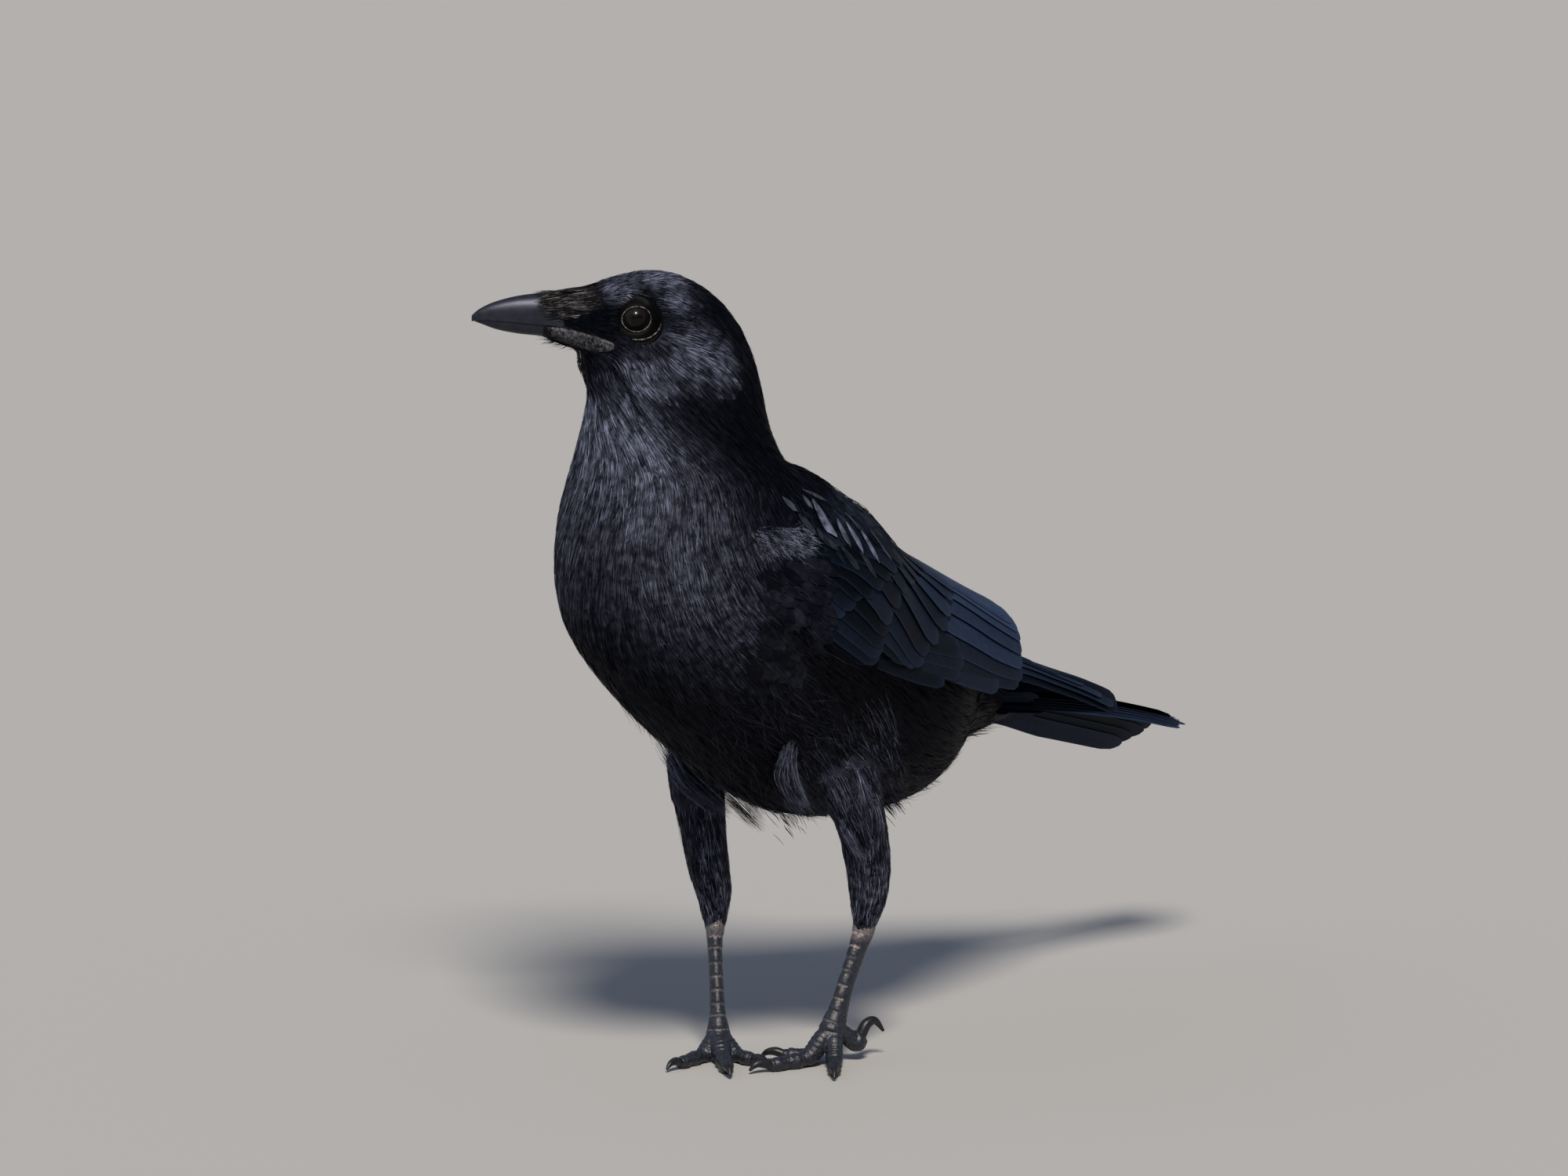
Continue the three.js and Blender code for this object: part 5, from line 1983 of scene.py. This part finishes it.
class CROW_OT_stage(bpy.types.Operator):
    """Adds the floor, the soft lights and the camera"""

    bl_idname = "crow.stage"
    bl_label = "Stage"

    def execute(self, context):
        centre = (Vector(CAD_BOX[0]) + Vector(CAD_BOX[1])) / 2
        add_camera(context, centre)
        corners = np.array([[-1, -1, 0], [1, -1, 0], [1, 1, 0], [-1, 1, 0]]) * FLOOR_HALF
        floor = mesh_object("floor", corners, np.array([[0, 1, 2, 3]]))
        floor.data.materials.append(surface(studio_floor))
        add_lamps(context, centre)
        add_sky(context)
        return {"FINISHED"}


# ---- Skin and coat ----


def draws(context, step=0):
    """Random draws for one step of the build, the same at each run."""
    return np.random.default_rng(context.scene.crow_plumage.seed + step)


SKIN_UNDER = 0.3  # how far the skin lies below the roots of the coat
SKIN_LEAST_FACES = 30000  # of the skin once both legs have joined it


def join_legs(made, legs, context):
    """Makes a skin and the skins of both legs one closed mesh."""
    for leg in legs:
        union = made.modifiers.new("join", "BOOLEAN")
        union.operation = "UNION"
        union.solver = "MANIFOLD"
        union.object = leg
    ready = made.evaluated_get(context.evaluated_depsgraph_get())
    joined = bpy.data.meshes.new_from_object(ready)
    made.modifiers.clear()
    made.data = joined
    for leg in legs:
        bpy.data.objects.remove(leg)
    if len(joined.polygons) < SKIN_LEAST_FACES:
        raise RuntimeError("the legs did not join the body's skin")
    joined.materials.clear()


class CROW_OT_skin(bpy.types.Operator):
    """Builds the one skin that lies under the coat"""

    bl_idname = "crow.skin"
    bl_label = "Skin"

    def execute(self, context):
        depth = coat_value("depth", np.arange(BODY.rows))[:, None, None]
        points = BODY.points - BODY.normals * (depth + SKIN_UNDER)
        made = mesh_object("skin", points.reshape(-1, 3), grid_faces(BODY.rows, AROUND, True)[:, ::-1])
        row, column = np.meshgrid(np.arange(BODY.rows), np.arange(AROUND), indexing="ij")
        set_value(made.data, "tone", 0.7 * worn_and_sheen(row.ravel(), column.ravel()))
        close_ends(made.data)
        rng = draws(context, 1)
        join_legs(made, [leg_skin(name, rng) for name in LEGS], context)
        finish_piece(made, body_black(context))
        made.data.materials.append(surface(leg_scales))
        middles = np.empty(len(made.data.polygons) * 3, np.float32)
        made.data.polygons.foreach_get("center", middles)
        scaled = middles[2::3] / MM < CUFF
        made.data.polygons.foreach_set("material_index", scaled.astype(np.int32))
        toes = [f"toe_{digit_name}_{name}" for name in LEGS for digit_name in TOES]
        limbs = [f"{part}_{name}" for name in LEGS for part in ("thigh", "shank")]
        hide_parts("head", "neck", "trunk", *limbs, *toes)
        return {"FINISHED"}


COVERED = 2.2  # how deep under the whole form a place on the body has to lie to need no feathers
NAPE = 262  # height over which nothing covers the body


def open_body(row, column, points):
    """Whether places on the body show: under no wing or thigh, and outside mantle and bare face."""
    inside = []
    for p in points:
        place, normal, _, gap = BULK.tree.find_nearest(Vector(p))
        inside.append(gap if (Vector(p) - place).dot(normal) < 0 else 0)
    covered = (np.array(inside) > COVERED) & (points[:, 2] < NAPE)
    return ~covered & ~in_mantle(points, -4) & ~bare_face(points)


# The body's coat from front to back, each piece from one section number to another.
COAT_PIECES = {"head": (0, 4.3), "neck": (4.3, 7), "breast": (7, 9.4), "belly": (9.4, 17)}


class CROW_OT_coat(bpy.types.Operator):
    """Covers head, neck and trunk with feathers"""

    bl_idname = "crow.coat"
    bl_label = "Body coat"

    def execute(self, context):
        rng = draws(context)
        apart = lambda row, column: coat_value("apart", row)
        feathers = scatter(BODY, apart, open_body, rng)
        thin = lambda row, column: np.interp(row / RINGS_BETWEEN, [0, 4, 8, 17], [0.55, 0.75, 1.1, 1.6])
        strands = scatter(BODY, thin, open_body, rng, 2)
        material = body_black(context)
        for name, (first, last) in COAT_PIECES.items():
            tufts = Tufts()
            for lay, (row, column) in ((lay_body_feathers, feathers), (lay_strands, strands)):
                inside = (row >= first * RINGS_BETWEEN) & (row < last * RINGS_BETWEEN)
                lay(tufts, row[inside], column[inside], rng)
            tufts.build(f"coat_{name}", material, "plumage")
        mantle_tufts(rng).build("coat_mantle", back_black(), "plumage")
        wing_front_tufts(rng).build("coat_wing_front", material, "plumage")
        shoulder_glints(rng).build("coat_shoulder_marks", material, "plumage")
        belly_fringe(rng).build("coat_fringe", material, "plumage")
        for name in SIDES:
            flank_tufts(name, rng).build(f"coat_flank_{name}", material, "plumage")
        return {"FINISHED"}


class CROW_OT_legs(bpy.types.Operator):
    """Builds the claws and the thighs' feathers"""

    bl_idname = "crow.legs"
    bl_label = "Legs"

    def execute(self, context):
        rng = draws(context, 1)
        for name, leg in LEGS.items():
            thigh_tufts(name, rng).build(f"coat_thigh_{name}", body_black(context), "plumage")
            for digit_name in TOES:
                claw_points, claw_faces = digit(leg, digit_name, "claw").mesh()
                quads = np.array([face for face in claw_faces if len(face) == 4])
                claw = mesh_object(f"claw_{digit_name}_{name}_smooth", claw_points, quads)
                close_ends(claw.data)
                finish_piece(claw, surface(claw_horn))
                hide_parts(f"claw_{digit_name}_{name}")
        return {"FINISHED"}


class CROW_OT_wings(bpy.types.Operator):
    """Lays the wing and tail feathers"""

    bl_idname = "crow.wings"
    bl_label = "Wings and tail"

    def execute(self, context):
        rng = draws(context, 2)
        material = flight_black()
        for name in SIDES:
            flight, coverts = wing_tufts(name, rng)
            made = flight.build(f"flight_{name}", material, "flight_feathers")
            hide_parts(f"primaries_{name}")
            made = coverts.build(f"coverts_{name}", material, "flight_feathers")
            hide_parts(f"wing_{name}")
        made = tail_tufts(rng).build("tail_feathers", material, "flight_feathers")
        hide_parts("tail")
        tail_covert_tufts(rng).build("tail_coverts", material, "flight_feathers")
        return {"FINISHED"}


class CROW_OT_bill(bpy.types.Operator):
    """Builds both halves of the bill"""

    bl_idname = "crow.bill"
    bl_label = "Bill"

    def execute(self, context):
        for name, sheet in (("upper", UPPER_BILL), ("lower", LOWER_BILL)):
            flat = sheet.points * [1, 1, 0] + sheet.points[:, :1] * [0, 0, 1]
            points, faces = close_sheet(sheet, flat)
            made = mesh_object(f"bill_{name}_horn", points, faces)
            made.data.set_sharp_from_angle(angle=math.radians(50))
            finish_piece(made, surface(bill_horn))
            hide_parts(f"bill_{name}")
        rng = draws(context, 3)
        tree = face_tree()
        for side in SIDES:
            points, faces, paler = plate_mesh(side, tree, rng)
            plate = mesh_object(f"gape_plate_{side}", points, faces)
            set_value(plate.data, "tone", paler)
            finish_piece(plate, surface(gape_crust))
        bristle_tufts(rng).build("bristles", bristle_black(), "plumage")
        return {"FINISHED"}


class CROW_OT_eyes(bpy.types.Operator):
    """Builds the eyes and the beaded rims of their lids"""

    bl_idname = "crow.eyes"
    bl_label = "Eyes"

    def execute(self, context):
        tree = face_tree()
        for side in SIDES:
            points, faces, angle = eyeball_mesh(side)
            ball = mesh_object(f"eyeball_{side}", points, faces)
            set_value(ball.data, "angle", angle)
            finish_piece(ball, surface(eye_wet))
            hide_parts(f"eye_{side}")
            for name, strip in {"rim": lid_rim(side), "fold": lid_fold(side, tree)}.items():
                finish_piece(mesh_object(f"lid_{name}_{side}", *strip), surface(lid_skin))
            skin = mesh_object(f"lid_skin_{side}", *lid_skin_mesh(side, tree))
            finish_piece(skin, surface(bare_skin))
        return {"FINISHED"}


# ---- Panel and registration ----

OPERATORS = (
    CROW_OT_stage,
    CROW_OT_skin,
    CROW_OT_coat,
    CROW_OT_legs,
    CROW_OT_wings,
    CROW_OT_bill,
    CROW_OT_eyes,
)
SETTINGS = {"crow_stage": CrowStageSettings, "crow_plumage": CrowPlumageSettings}


class CROW_PT_panel(bpy.types.Panel):
    """Lists the steps that build the crow"""

    bl_label = "Crow"
    bl_idname = "CROW_PT_panel"
    bl_space_type = "VIEW_3D"
    bl_region_type = "UI"
    bl_category = "Crow"

    def draw(self, context):
        for operator in OPERATORS:
            self.layout.operator(operator.bl_idname)
        for name, group in SETTINGS.items():
            for prop in group.__annotations__:
                self.layout.prop(getattr(context.scene, name), prop)


def register():
    for group in (*SETTINGS.values(), *OPERATORS, CROW_PT_panel):
        bpy.utils.register_class(group)
    for name, group in SETTINGS.items():
        setattr(bpy.types.Scene, name, PointerProperty(type=group))


def unregister():
    for name in SETTINGS:
        delattr(bpy.types.Scene, name)
    for group in (CROW_PT_panel, *OPERATORS[::-1], *SETTINGS.values()):
        bpy.utils.unregister_class(group)


def main():
    register()
    for operator in OPERATORS:
        space, name = operator.bl_idname.split(".")
        getattr(getattr(bpy.ops, space), name)()


if __name__ == "__main__":
    main()
